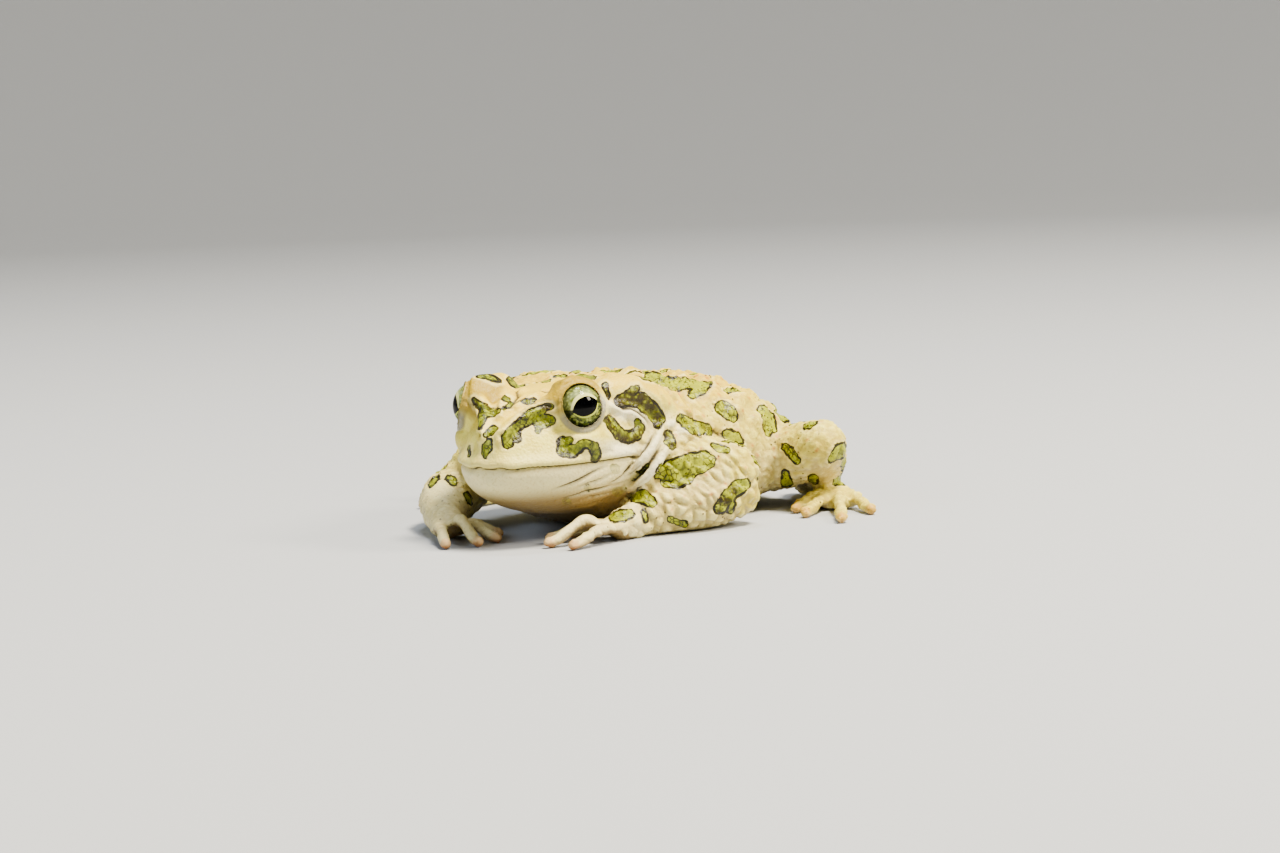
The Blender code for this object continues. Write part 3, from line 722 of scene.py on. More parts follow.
# Folds that stand out and creases that cut in, as they show in the picture and mirrored to the right:
# height or depth in mm, half width in mm, and the path in pixels
RELIEF = [
    (0.95, 0.85, [(490, 424), (502, 417), (512, 411), (521, 406), (532, 399), (546, 391), (564, 383)]),
    (0.50, 0.8, [(553, 399), (560, 389), (570, 380), (585, 376), (597, 378), (603, 385)]),
    (1.15, 0.8, [(660, 426), (657, 438), (651, 449), (644, 458), (637, 467), (629, 476)]),
    (1.25, 0.9, [(666, 444), (661, 456), (655, 465), (648, 474), (641, 483), (634, 489)]),
    (0.35, 0.6, [(604, 402), (613, 406), (624, 412), (634, 414), (643, 420), (649, 427)]),
    (0.60, 0.9, [(670, 419), (671, 428)]),
    (0.70, 1.0, [(682, 426), (684, 435)]),
    (0.25, 0.8, [(600, 447), (615, 449), (630, 451), (642, 449)]),
    (-0.60, 0.5, [(495, 413), (504, 410), (512, 404), (518, 396), (516, 391), (508, 387)]),
    (-0.60, 0.5, [(502, 432), (510, 424), (520, 414), (530, 408), (541, 405), (552, 406), (560, 403)]),
    (-0.45, 0.45, [(474, 399), (482, 402), (490, 405), (498, 408)]),
    (-0.75, 0.45, [(611, 398), (617, 405), (624, 409), (632, 408), (640, 413), (647, 420), (652, 428)]),
    (-0.75, 0.35, [(633, 457), (632, 464), (628, 470), (622, 477), (615, 482), (609, 484)]),
    (-1.25, 0.45, [(665, 438), (660, 447), (654, 457), (647, 467), (640, 474), (633, 481), (625, 487)]),
    (-1.40, 0.5, [(675, 455), (667, 462), (660, 469), (653, 476), (646, 483), (638, 490), (628, 497), (618, 504)]),
    (-0.80, 0.4, [(654, 430), (650, 440), (645, 449), (638, 458), (631, 467)]),
    (-0.45, 0.35, [(650, 461), (640, 466), (631, 473), (622, 480)]),
    (-0.35, 0.4, [(646, 470), (636, 476), (624, 483), (612, 488)]),
    (-0.70, 0.6, [(680, 447), (690, 440), (702, 435), (716, 432), (728, 436), (740, 446)]),
    (-0.65, 0.35, [(606, 466), (594, 472), (580, 480), (566, 486), (552, 490)]),
    (-0.50, 0.3, [(612, 474), (600, 480), (588, 484), (574, 489)]),
    (-0.70, 0.4, [(618, 484), (602, 489), (586, 492), (572, 497), (556, 500)]),
    (-0.55, 0.3, [(616, 491), (604, 495), (590, 497), (574, 502)]),
    (-0.65, 0.35, [(612, 499), (598, 502), (582, 506), (566, 508)]),
    (-0.40, 0.5, [(632, 507), (642, 506), (648, 512), (652, 521), (656, 529)]),
    (-0.35, 0.5, [(658, 500), (664, 509), (668, 517)]),
    (-0.35, 0.5, [(752, 450), (757, 460), (762, 470)]),
]


def skin_tree():
    """The skin as it is now, for lines of sight to meet."""
    bm = bmesh.new()
    bm.from_mesh(skin.data)
    tree = BVHTree.FromBMesh(bm)
    bm.free()
    return tree


surface = skin_tree()


def on_skin(x, y):
    """Where the line of sight through a pixel meets the skin, in mm."""
    place, out, _, far = surface.ray_cast(VIEWPOINT, sight_line((x, y)))
    return None if place is None else (np.array(place), np.array(out), far)


points = points_of(skin)
mirrored = points.copy()
mirrored[:, 0] = np.abs(mirrored[:, 0])
drum = np.linalg.norm(mirrored - EARDRUM, axis=1)
move = 0.18 * np.exp(-(((drum - 2.4) / 0.4) ** 2)) - 0.12 * np.exp(-((drum / 1.6) ** 4))
crease_shade, fold = np.zeros(len(points)), np.zeros(len(points))
for rise, width, path in RELIEF:
    hits = [on_skin(x, y) for x, y in path]
    gap, along = path_distance(mirrored, [np.abs(hit[0]) if hit[0][1] < 20 else hit[0] for hit in hits if hit])
    fade = np.sin(np.pi * np.clip(along, 0.03, 0.97)) ** 0.5
    line = fade * np.exp(-((gap / width) ** 2))
    move += rise * line
    # Creases that cut in are also kept as painted shade for the skin's colour.
    if rise < 0:
        crease_shade = np.maximum(crease_shade, line * min(-1.6 * rise, 1.0))
    # Raised folds on the side of the neck: their pale skin, on which the material also paints a highlight.
    elif hits[0] and hits[0][0][0] > 14:
        fold = np.maximum(fold, fade * np.exp(-((gap / 1.6) ** 4)))
push(skin, move)

# %% [markdown]
# ## Warts and granules
# The back of this toad carries low round warts of one to two millimetres, each with a small hard tip.
# They keep clear of each other, so they are scattered by drawing seeded places and keeping those with
# room. Each is a soft dome pushed out of the skin. The smaller grain of the flank and the arm is a
# cell pattern: every cell swells to a granule, with a fine furrow round it.

# %% Scatter the warts
WART_SEED = 5


def scatter(points, normals, allowed, count, low, high, rng):
    """Seeded places that keep clear of each other: index of the point, and the radius."""
    candidates = np.flatnonzero(allowed)
    found, radii = [], []
    for pick in rng.permutation(candidates)[: count * 14]:
        radius = rng.uniform(low, high)
        if found:
            gap = np.linalg.norm(points[found] - points[pick], axis=1)
            if (gap < 1.15 * (radius + np.array(radii))).any():
                continue
        found.append(pick)
        radii.append(radius)
        if len(found) == count:
            break
    return found, radii


points, normals = points_of(skin), normals_of(skin)
side_y, height = points[:, 1], points[:, 2]
from_gland = np.full(len(points), 1e9)
for side in (1, -1):
    mirror = np.array((side, 1, 1))
    gap, _ = path_distance(points, [np.array(joint[:3]) * mirror for joint in GLAND])
    from_gland = np.minimum(from_gland, gap - 3.6)
upward = normals[:, 2]
limb = np.abs(points[:, 0]) > 27.5
back = (side_y > 27) & (height > 11) & (upward > 0.0) & (from_gland > 1.5) & (fold < 0.1)
limbs = (upward > -0.2) & (height > 5) & ((side_y > 22) & (np.abs(points[:, 0]) > 20) & ~back | limb) & (fold < 0.1)
lids = (side_y > 4) & (side_y < 17) & (height > 26) & (upward > 0.3)
rng = np.random.default_rng(WART_SEED)
dome = np.zeros(len(points))
tip = np.zeros(len(points))
for allowed, count, low, high, tall in (
    (back & ~limb, 110, 0.9, 1.7, 0.34),
    (back & ~limb, 220, 0.45, 0.8, 0.3),
    (limbs, 70, 0.6, 1.1, 0.32),
    (lids, 26, 0.35, 0.6, 0.26),
):
    found, radii = scatter(points, normals, allowed, count, low, high, rng)
    for pick, radius in zip(found, radii):
        gap = np.linalg.norm(points - points[pick], axis=1)
        near = gap < 1.6 * radius
        t = gap[near] / (1.6 * radius)
        dome[near] = np.maximum(dome[near], radius * tall * (1 - t * t) ** 2)
        tip[near] = np.maximum(tip[near], np.exp(-((gap[near] / (0.35 * radius)) ** 2)) * (radius > 0.6))
    print("warts:", len(found), "radii", round(min(radii), 2), "to", round(max(radii), 2))
push(skin, dome)
for at in DIGIT_TIPS:
    tip = np.maximum(tip, 0.8 * np.exp(-((np.linalg.norm(points - at, axis=1) / 1.3) ** 4)))

# %% [markdown]
# The granules need to follow the skin, so each point asks the cell pattern how far it is from the two
# nearest cell centres. Where they are equally far there is a furrow. On the forelimb the skin folds
# across the limb, so its cells are larger and drawn out that way.

# %% Granules
GRAIN, ARM_GRAIN, ARM_DRAWN_OUT = 1.5, 2.2, 0.45
ACROSS_ARM = (VIEW[0] - VIEW[1]) / math.sqrt(2)

points, normals = points_of(skin), normals_of(skin)
flank = smooth_step(20 - points[:, 2], 0, 6) * smooth_step(points[:, 1], 22, 30)
arm_grain = smooth_step(np.abs(points[:, 0]) + 0.5 * points[:, 1], 24, 30) * smooth_step(points[:, 1], 14, 22)
grain = np.maximum(flank, arm_grain)
hands = smooth_step(9 - points[:, 2], 0, 3) * (np.abs(points[:, 0]) > 13)
grain = np.maximum.reduce([grain, 0.5 * smooth_step(points[:, 1], 20, 26), 0.6 * hands])
grain *= (1 - 0.85 * smooth_step(-from_gland, -1.0, 0.5)) * (1 - fold)


def cell_heights(places, chosen):
    """Round cells over the chosen points: 1 on each and 0 in the furrows between."""
    cells = np.ones(len(places))
    for i in np.flatnonzero(chosen):
        gaps = noise.voronoi(Vector(places[i]), distance_metric="DISTANCE")[0]
        cells[i] = smooth_step(gaps[1] - gaps[0], 0.0, 0.45)
    return cells


on_arm = (points[:, 0] > 16) & (points[:, 1] < 42)
drawn = points - ARM_DRAWN_OUT * (points @ ACROSS_ARM)[:, None] * ACROSS_ARM
raised = cell_heights(points / GRAIN, (grain > 0.02) & ~on_arm)
raised = np.minimum(raised, cell_heights(drawn / ARM_GRAIN, (grain > 0.02) & on_arm))
rise = np.where(on_arm, 0.62, 0.42) * (raised - 0.6) * grain
rise[points[:, 2] < 0.8] = 0
push(skin, rise)
print("granules on points:", int((grain > 0.02).sum()))

# %% [markdown]
# ## Standing on the floor
# The toad rests on its belly, palms, fingertips and toes. Skin that would go below the floor is
# pressed flat there, as soft skin is under the animal's weight.

# %% Press flat
points = points_of(skin)
points[:, 2] = np.maximum(points[:, 2], 0.0)
place_points(skin, points)
print("points on the floor:", int((points[:, 2] < 0.01).sum()))

# %% [markdown]
# ## Where the markings lie
# The green blotches of this species are like a fingerprint, so the ones that show in the picture are
# drawn as strings of circles in picture coordinates, and a line of sight carries each onto the skin.
# Those on the hidden side are drawn at random in the same sizes and with the same spacing, because
# the two sides of a green toad resemble each other without being mirror images.
# The result is one number per point of the skin: how deep it lies inside a blotch, in millimetres.

# %% Blotches seen in the picture
# Each blotch is a string of circles: x, y and radius in pixels of the picture
BLOTCHES = [
    [(478, 375, 2.5), (486, 376, 3.5), (494, 379, 3.5), (500, 381, 2.5)],
    [(504, 379, 5), (512, 381, 6), (520, 386, 5), (528, 389, 4)],
    [(556, 377, 3), (563, 376, 4.5), (571, 377, 4.1), (577, 374, 2.5)],
    [(504, 398, 3), (508, 400, 3)],
    [(505, 409, 3), (511, 404, 2.5)],
    [(523, 401, 2.5), (529, 402, 3.5), (534, 400, 2.5)],
    [(474, 400, 2.5), (479, 405, 4), (485, 410, 6), (492, 412, 5), (498, 411, 3)],
    [(484, 411, 5.5), (481, 420, 4.5), (480, 427, 3)],
    [(494, 428, 3.5), (490, 432, 4), (486, 435, 3)],
    [(489, 441, 3.5), (487, 447, 5.5), (485, 453, 4), (485, 458, 2)],
    [(469, 447, 1.5), (469.5, 452, 1.8), (469, 456, 1.2)],
    [
        (551, 407, 3), (545, 407, 3.5), (539, 412, 6), (533, 415, 7), (527, 419, 6.5), (520, 424, 6),
        (513, 431, 6), (508, 438, 7), (508, 443, 6),
    ],
    [(535, 414, 6), (540, 421, 7), (546, 421, 7), (551, 420, 5)],
    [(539, 425, 5.5), (538, 430, 3)],
    [(513, 436, 6), (517, 438, 5), (518, 433, 3.5)],
    [(563, 442, 6), (563, 451, 6.5), (572, 451, 7), (579, 449, 5)],
    [(563, 442, 5.5), (570, 440, 3.5)],
    [(579, 447, 5), (586, 443, 4.5), (593, 447, 6), (596, 453, 6), (595, 459, 4)],
    [(609, 420, 5), (614, 427, 5.5), (620, 434, 6.5), (628, 438, 6.5), (636, 435, 6.5), (640, 428, 5.5)],
    [(640, 428, 5.5), (638, 423, 4)],
    [(620, 401, 6), (627, 397, 6.5), (634, 391, 5), (637, 388, 3)],
    [(624, 402, 6), (632, 400, 7), (641, 400, 8.5), (648, 406, 8.5), (654, 412, 8), (659, 419, 7), (658, 425, 4.5)],
    [(668, 434, 4.5), (670, 441, 6), (672, 446, 4)],
    [(597, 371, 5), (604, 371, 6), (606, 378, 5), (605, 386, 4), (607, 394, 3.5), (607, 398, 2.5)],
    [
        (651.7, 377.9, 7.6), (663.5, 382.3, 8), (672.3, 385, 8), (684, 382.3, 7.5), (695.7, 382.3, 8),
        (701.6, 388.1, 6.5), (692.8, 394, 5.3),
    ],
    [(701.6, 388.1, 6.5), (708.9, 383.7, 4.1)],
    [(722, 407, 7), (729.5, 413, 8), (734, 417.5, 5)],
    [(761.7, 410.1, 5.3), (767.6, 417.5, 7.5), (770.5, 427.7, 7), (769.1, 433.6, 3.5)],
    [(681.1, 418.9, 5.3), (689.9, 424.8, 6.5), (698.7, 429.2, 7), (706, 427.7, 5.3), (708.9, 433.6, 2.9)],
    [(728, 434, 6), (735, 437, 6.5), (740, 442, 4)],
    [
        (657, 476, 4), (664, 472, 9), (674, 471, 12.5), (684, 468, 13), (694, 464, 12), (703, 461, 11),
        (708, 461, 8),
    ],
    [(668, 479, 8.5), (678, 480, 9), (686, 476, 8)],
    [(720, 508, 6.5), (726, 501, 7.5), (731, 494, 7.5), (739, 487, 8), (746, 484, 5.5)],
    [(732, 504, 4.5), (730, 510, 4)],
    [(636, 497, 6), (643, 497, 7.5), (650, 501, 6.5), (654, 503, 3.5)],
    [(615, 517, 6), (622, 515.5, 7), (629, 514, 5.5)],
    [(670, 519, 2.5), (677, 522, 3), (684, 524, 4), (688, 531, 4.5), (686, 538, 4)],
    [(643, 512, 3), (646, 519, 3.5)],
    [(713, 445, 2.5), (720, 448, 4), (727, 450.5, 3.5)],
    [(785.2, 473.2, 4.1), (786.7, 482, 6.5), (788.1, 489.3, 4.7)],
    [(813.1, 479.1, 5.3), (814.5, 482, 4.1)],
    [(615.1, 468.8, 4.7), (616, 470.9, 3.5)],
    [(617, 492, 4.7), (624, 490, 2.5)],
    [(633, 478, 3), (641, 471.7, 3.2), (647, 466, 2.3)],
    [(587.2, 487.3, 3.5), (588.4, 488.5, 2.6)],
    [(566.7, 501.1, 4.1), (568.4, 502.2, 2.9)],
    [(754.4, 526, 4.1), (756.2, 527.8, 2.9)],
    [(449, 478, 4), (453, 482, 4.5)],
    [(431, 485, 3), (437, 477, 3.4)],
    [(466, 494, 2.8), (471, 502, 3.2)],
]
SPREAD = 0.6
# Steps longer than this, in mm, lie on skin that is seen edge on, where a circle would become a streak
LONGEST_STEP = 6.0

# Places where a blotch turns from green to dark brown: x, y and radius in pixels
UMBER = [
    (549, 408, 6), (544, 407, 5), (520, 430, 4), (519, 440, 4), (620, 402, 11), (630, 399, 11), (640, 398, 12),
    (650, 406, 11), (657, 416, 7), (607, 388, 6), (606, 396, 7), (666, 436, 6), (622, 441, 6), (476, 402, 5),
    (722, 500, 5), (719, 512, 4), (608, 420, 6), (612, 429, 7), (618, 437, 7), (626, 441, 8), (635, 440, 8),
    (641, 433, 7), (644, 416, 8), (656, 424, 6), (672, 446, 5), (733, 492, 7), (726, 501, 7),
]

points, normals = points_of(skin), normals_of(skin)
flat = to_pixels(points)
facing = ((EYE_POINT - points) * normals).sum(axis=1) / np.linalg.norm(EYE_POINT - points, axis=1)
surface = skin_tree()


def capsule(points, a, b, ra, rb):
    """How deep points lie inside the shape swept by a circle or ball from a to b."""
    run = b - a
    t = np.clip((points - a) @ run / max(run @ run, 1e-9), 0, 1)
    return ra + (rb - ra) * t - np.linalg.norm(points - a - t[:, None] * run, axis=1)


blotch = np.full(len(points), -9.0)
anchors = []
for path in BLOTCHES:
    hits = [(on_skin(x, y), x, y, r) for x, y, r in path]
    hits = [item for item in hits if item[0] is not None]
    for first, second in zip(hits, hits[1:]):
        (p, _, far), x, y, r = first
        (q, _, _), u, v, s = second
        if np.linalg.norm(q - p) > LONGEST_STEP:
            continue
        scale = far / FOCAL_PIXELS
        r, s = r + SPREAD, s + SPREAD
        depth2 = capsule(flat, np.array((x, y)), np.array((u, v)), r, s) * scale
        depth3 = capsule(points, p, q, 2.6 * r * scale, 2.6 * s * scale)
        value = np.where(facing > 0.02, np.minimum(depth2, depth3), -9.0)
        blotch = np.maximum(blotch, value)
        anchors.append((p, q, r * scale, s * scale))
print("strings on the skin:", len(anchors))

# %% [markdown]
# Points just round the horizon of the view take the value of the nearest string as a ball in space,
# so that no blotch ends at a straight edge where it turns out of sight.

# %% Blotches that turn out of sight
hidden = facing < 0.25
for p, q, r, s in anchors:
    value = capsule(points, p, q, r, s)
    weight = smooth_step(-facing, -0.25, 0.0)
    blotch = np.where(hidden, np.maximum(blotch, value - 0.4 + 0.4 * weight), blotch)

head_left = [(p, q, r, s) for p, q, r, s in anchors if p[0] > 4 and p[1] < 31 and p[2] > 13]
for p, q, r, s in head_left:
    mirror = np.array((-1, 1, 1))
    shift = np.array((0, 0.6, -0.3))
    value = capsule(points, p * mirror + shift, q * mirror + shift, r * 0.95, s)
    blotch = np.where((points[:, 0] < -5) & (facing < 0.05), np.maximum(blotch, value), blotch)

# %% [markdown]
# Elsewhere blotches are drawn as short strings that run back from a random place. A place is kept
# if there is bare skin round it, which gives the even spacing of the real pattern.

# %% Blotches on the hidden side
ROOM = 1.5

allowed = (height > 4.5) & (normals[:, 2] > -0.35) & (points[:, 1] > 16)
allowed &= (points[:, 1] > 26) | (points[:, 0] < -15)
made = 0
for pick in rng.permutation(np.flatnonzero(allowed))[:2600]:
    on_limb = abs(points[pick, 0]) > 25 or points[pick, 1] < 26
    radius = rng.uniform(1.2, 2.1) if on_limb else rng.uniform(1.6, 3.0)
    if blotch[pick] > -(ROOM + radius):
        continue
    seen = facing[pick] > 0.12 and points[pick, 1] < 58
    if seen:
        continue
    run = Vector((rng.normal(0, 0.5), 1.0, rng.normal(0, 0.5)))
    run -= run.dot(Vector(normals[pick])) * Vector(normals[pick])
    run = run.normalized() * rng.uniform(0.6, 2.2) * radius
    start = Vector(points[pick])
    end = surface.find_nearest(start + run)[0]
    bend = surface.find_nearest(start - run * 0.8 + Vector((rng.normal(0, 1), 0, rng.normal(0, 1))))[0]
    for a, b, ra, rb in ((start, end, radius, radius * rng.uniform(0.6, 1)), (start, bend, radius, radius * 0.7)):
        blotch = np.maximum(blotch, capsule(points, np.array(a), np.array(b), ra, rb))
    made += 1
print("blotches drawn for the hidden side:", made)

# %% [markdown]
# The edge of a real blotch wanders over the granules. A slow noise moves it by a few tenths of a
# millimetre here, and the material adds a finer one.

# %% Keep the fields on the mesh


def field(obj, name, values):
    """Keep one number per point on the mesh, for the materials to read."""
    layer = obj.data.attributes.new(name, "FLOAT", "POINT")
    layer.data.foreach_set("value", np.asarray(values, np.float32))


wander = np.array([noise.noise(Vector(p / 1.7)) + 0.5 * noise.noise(Vector(p / 0.8)) for p in points])
blotch = np.clip(blotch + 0.22 * wander, -3, 3)
belly = smooth_step(-normals[:, 2], 0.35, 0.8) * smooth_step(14 - points[:, 2], 0, 4)
low = smooth_step(15.5 - points[:, 2], 0.0, 6.0) * (np.abs(points[:, 0]) < 30)
from_mouth = points[:, 2] - mouth_height(points[:, 0])
throat = smooth_step(0.3 - from_mouth, 0, 0.5) * smooth_step(22 - points[:, 1], 0, 4)
upper_lip = 0.4 * (1 - smooth_step(from_mouth, 0.5, 5.0)) * smooth_step(25 - points[:, 1], 0, 3)
pale = np.clip(np.maximum.reduce([belly, 0.6 * low, throat, upper_lip]), 0, 1)
top = smooth_step(points[:, 2], 20, 25) * smooth_step(normals[:, 2], 0.0, 0.6)
brow = np.zeros(len(points))
for side in (1, -1):
    at = np.array((side * 9.9, 10.7, 28.0))
    brow = np.maximum(brow, np.exp(-((np.linalg.norm(points - at, axis=1) / 5.0) ** 4)))
brow = np.maximum(brow, 0.8 * smooth_step(-from_gland, -1.0, 1.0) * smooth_step(normals[:, 2], 0.0, 0.5))
lip_pale = np.exp(-(((from_mouth - 2.0) / 2.2) ** 2)) * (points[:, 1] < 24)
tan = np.clip(np.maximum(0.75 * top, brow) - 0.5 * lip_pale, 0, 1)
# Painted shade in the creases, the mouth groove and the nostrils, in one field.
crease_shade = np.maximum.reduce([crease_shade, mouth_groove_shade, nostril_shade])
umber = np.zeros(len(points))
for x, y, radius in UMBER:
    hit = on_skin(x, y)
    if hit:
        for mirror in ((1, 1, 1), (-1, 1, 1)):
            gap = np.linalg.norm(points - hit[0] * mirror, axis=1) / (radius * hit[2] / FOCAL_PIXELS)
            umber = np.maximum(umber, 1 - smooth_step(gap, 0.3, 1.4))
faint = smooth_step(15.0 - points[:, 2], 0.0, 1.5) * smooth_step(24 - points[:, 1], 0.0, 2.0)
faint *= (np.abs(points[:, 0]) < 17) & (normals[:, 2] < 0.1)
# Painted shade: low skin that faces down, under the chin and the front of the body, is darkened. The eardrum is also a
# little darker, in its own tone.
underside_shade_and_drum = smooth_step(12.0 - points[:, 2], 0, 4) * smooth_step(0.1 - normals[:, 2], 0, 0.5) * (np.abs(points[:, 0]) < 18)
underside_shade_and_drum *= smooth_step(34 - points[:, 1], 0, 6)
underside_shade_and_drum = np.maximum(underside_shade_and_drum, 0.3 * np.exp(-((drum / 3.2) ** 4)))
fields = {
    "underside_shade_and_drum": underside_shade_and_drum,
    "faint": faint, "lid": lid, "hood": hood, "blotch": blotch, "pale": pale, "tan": tan, "tip": tip,
    "grain": grain, "furrow": 1 - raised, "crease_shade": crease_shade, "umber": umber, "fold": fold,
}
for name, values in fields.items():
    field(skin, name, values)
print("share of skin inside blotches:", round(float((blotch > 0).mean()), 3))

# %% [markdown]
# ## Eyeballs
# Each eyeball is a ball whose pole looks out along the eye's axis. It keeps, for each of its points,
# where that lies across and up on the face of the eye in millimetres, so the material can paint the
# iris and the pupil there as an eye maker paints them behind the glass.

# %% Eyeballs


def eyeball(name, side):
    centre, axis, across, up = eye_frame(side)
    bm = bmesh.new()
    turn = Matrix((across, up, axis)).transposed().to_4x4()
    place = Matrix.Translation(centre) @ turn
    bmesh.ops.create_uvsphere(bm, u_segments=64, v_segments=48, radius=EYE_RADIUS, matrix=place)
    for face in bm.faces:
        face.smooth = True
    mesh = bpy.data.meshes.new(name)
    bm.to_mesh(mesh)
    bm.free()
    obj = bpy.data.objects.new(name, mesh)
    bpy.context.scene.collection.objects.link(obj)
    out = points_of(obj) - np.array(centre)
    forward = np.array(across) * (1 if side > 0 else -1)
    field(obj, "iris_x", out @ forward)
    field(obj, "iris_y", out @ np.array(up))
    field(obj, "iris_z", out @ np.array(axis))
    return obj


eyes = [eyeball("eyeball_left", 1), eyeball("eyeball_right", -1)]

# %% [markdown]
# ## To the frame, in metres
# The pieces are moved to the shared frame by their points, so that every object stays at the origin.

# %% Millimetres to metres
for obj in [skin] + eyes:
    place_points(obj, (points_of(obj) + SHIFT_MM) * MM)
    for face in obj.data.polygons:
        face.use_smooth = True
for obj, nodes in ((skin, FLESH), (eyes[0], ["eye_left"]), (eyes[1], ["eye_right"])):
    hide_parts(*nodes)
    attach(obj, "root")

# %% [markdown]
# ## Materials node by node
# One function adds a node with its settings and links, and one turns an sRGB hex colour, as a paint
# chart gives it, to the linear value that the shader counts with.

# %% Node helpers


def linear(hex_colour):
    """An sRGB colour such as "e2ca8e" as linear red, green, blue and alpha."""
    parts = [int(hex_colour[i : i + 2], 16) / 255 for i in (0, 2, 4)]
    return (*[v / 12.92 if v <= 0.04045 else ((v + 0.055) / 1.055) ** 2.4 for v in parts], 1.0)


def add(tree, kind, links=None, **settings):
    """A node of that kind with its settings, and its inputs linked or set by name or number."""
    node = tree.nodes.new(kind)
    for name, value in settings.items():
        setattr(node, name, value)
    for key, value in (links or {}).items():
        if isinstance(value, bpy.types.NodeSocket):
            tree.links.new(value, node.inputs[key])
        else:
            node.inputs[key].default_value = value
    return node


def new_material(name):
    made = bpy.data.materials.new(name)
    made.use_nodes = True
    tree = made.node_tree
    tree.nodes.clear()
    shader = add(tree, "ShaderNodeBsdfPrincipled")
    add(tree, "ShaderNodeOutputMaterial", {"Surface": shader.outputs[0]})
    return made, tree, shader


def value_of(tree, name):
    return add(tree, "ShaderNodeAttribute", attribute_name=name).outputs["Fac"]


def maths(tree, operation, *values):
    """One step of arithmetic on numbers or sockets."""
    return add(tree, "ShaderNodeMath", dict(enumerate(values)), operation=operation).outputs[0]


def between(tree, value, low, high):
    """0 below `low`, 1 above `high`, and smooth between."""
    links = {"Value": value, "From Min": low, "From Max": high}
    return add(tree, "ShaderNodeMapRange", links, interpolation_type="SMOOTHSTEP").outputs[0]


def mixed(tree, amount, first, second, blend="MIX"):
    """Two colours mixed by an amount. Colours are hex text or sockets."""
    node = tree.nodes.new("ShaderNodeMix")
    node.data_type = "RGBA"
    node.blend_type = blend
    for key, value in ((0, amount), (6, first), (7, second)):
        if isinstance(value, bpy.types.NodeSocket):
            tree.links.new(value, node.inputs[key])
        else:
            node.inputs[key].default_value = linear(value) if isinstance(value, str) else value
    return node.outputs[2]


# %% [markdown]
# ## Skin
# Living toad skin is moist and slightly see-through: light enters, turns warm and leaves nearby. The
# ground is cream, more tan on the back and the lids and nearly white below. In a blotch the green
# lies in the deep layer, dark pigment collects in a thin line along its edge and in specks between
# the granules, and each granule's top is lighter, partly its own tone and partly a painted highlight.
# Painted shade darkens the creases, the mouth groove, the nostrils, the furrows between the granules
# and the low skin under the chin and the body; the raised folds of the neck carry a painted highlight.

# %% Skin material
skin_material, tree, shader = new_material("moist_toad_skin")
spot = add(tree, "ShaderNodeTexCoord").outputs["Object"]


def noise_at(size_mm, detail=3.0, rough=0.5):
    """Noise whose largest lumps are about that many millimetres."""
    return add(
        tree, "ShaderNodeTexNoise",
        {"Vector": spot, "Scale": 1 / (size_mm * MM), "Detail": detail, "Roughness": rough},
    ).outputs["Fac"]


def cells_at(size_mm, feature="F1", randomness=1.0):
    """Distance to the nearest cell centre, in cells, for cells of about that many millimetres."""
    return add(
        tree, "ShaderNodeTexVoronoi",
        {"Vector": spot, "Scale": 1 / (size_mm * MM), "Randomness": randomness}, feature=feature,
    ).outputs["Distance"]


fine = maths(tree, "SUBTRACT", noise_at(0.9, 2.0, 0.5), 0.5)
deep = maths(tree, "MULTIPLY_ADD", fine, 0.45, value_of(tree, "blotch"))
inside = between(tree, deep, -0.07, 0.09)
line_width = between(tree, noise_at(2.6, 2.0), 0.3, 0.7)
line_inner = maths(tree, "MULTIPLY_ADD", line_width, 0.45, 0.24)
line_outer = maths(tree, "SUBTRACT", line_inner, 0.14)
line = maths(tree, "MULTIPLY", inside, maths(tree, "SUBTRACT", 1.0, between(tree, deep, line_outer, line_inner)))
outside = maths(tree, "SUBTRACT", 1.0, inside)
halo = maths(tree, "MULTIPLY", between(tree, deep, -0.9, -0.1), outside)
faint = value_of(tree, "faint")
halo = maths(tree, "MULTIPLY", halo, maths(tree, "MULTIPLY_ADD", faint, -0.6, 0.6))

patches = between(tree, noise_at(4.0, 3.0), 0.35, 0.65)
ground = mixed(tree, patches, "e6da60", "dac94c")
ground = mixed(tree, value_of(tree, "tan"), ground, mixed(tree, patches, "dab200", "e4c204"))
ground = mixed(tree, value_of(tree, "pale"), ground, "e0d498")
# Painted shade under the chin and the body, with the eardrum's own darker tone.
ground = mixed(tree, value_of(tree, "underside_shade_and_drum"), ground, "8a7448")
ground = mixed(tree, maths(tree, "MULTIPLY", value_of(tree, "hood"), 0.9), ground, "947a00")
ground = mixed(tree, value_of(tree, "lid"), ground, "858064")
ground = mixed(tree, halo, ground, "f0e08c")
# Painted shade in the furrows between the granules.
furrow_shade = maths(tree, "MULTIPLY", value_of(tree, "furrow"), value_of(tree, "grain"))
ground = mixed(tree, maths(tree, "MULTIPLY", furrow_shade, 0.5), ground, "8a6c1c")
# Painted highlight: the raised neck folds are painted near white, over their own pale skin.
ground = mixed(tree, maths(tree, "MULTIPLY", value_of(tree, "fold"), 0.8), ground, "f6efcc")
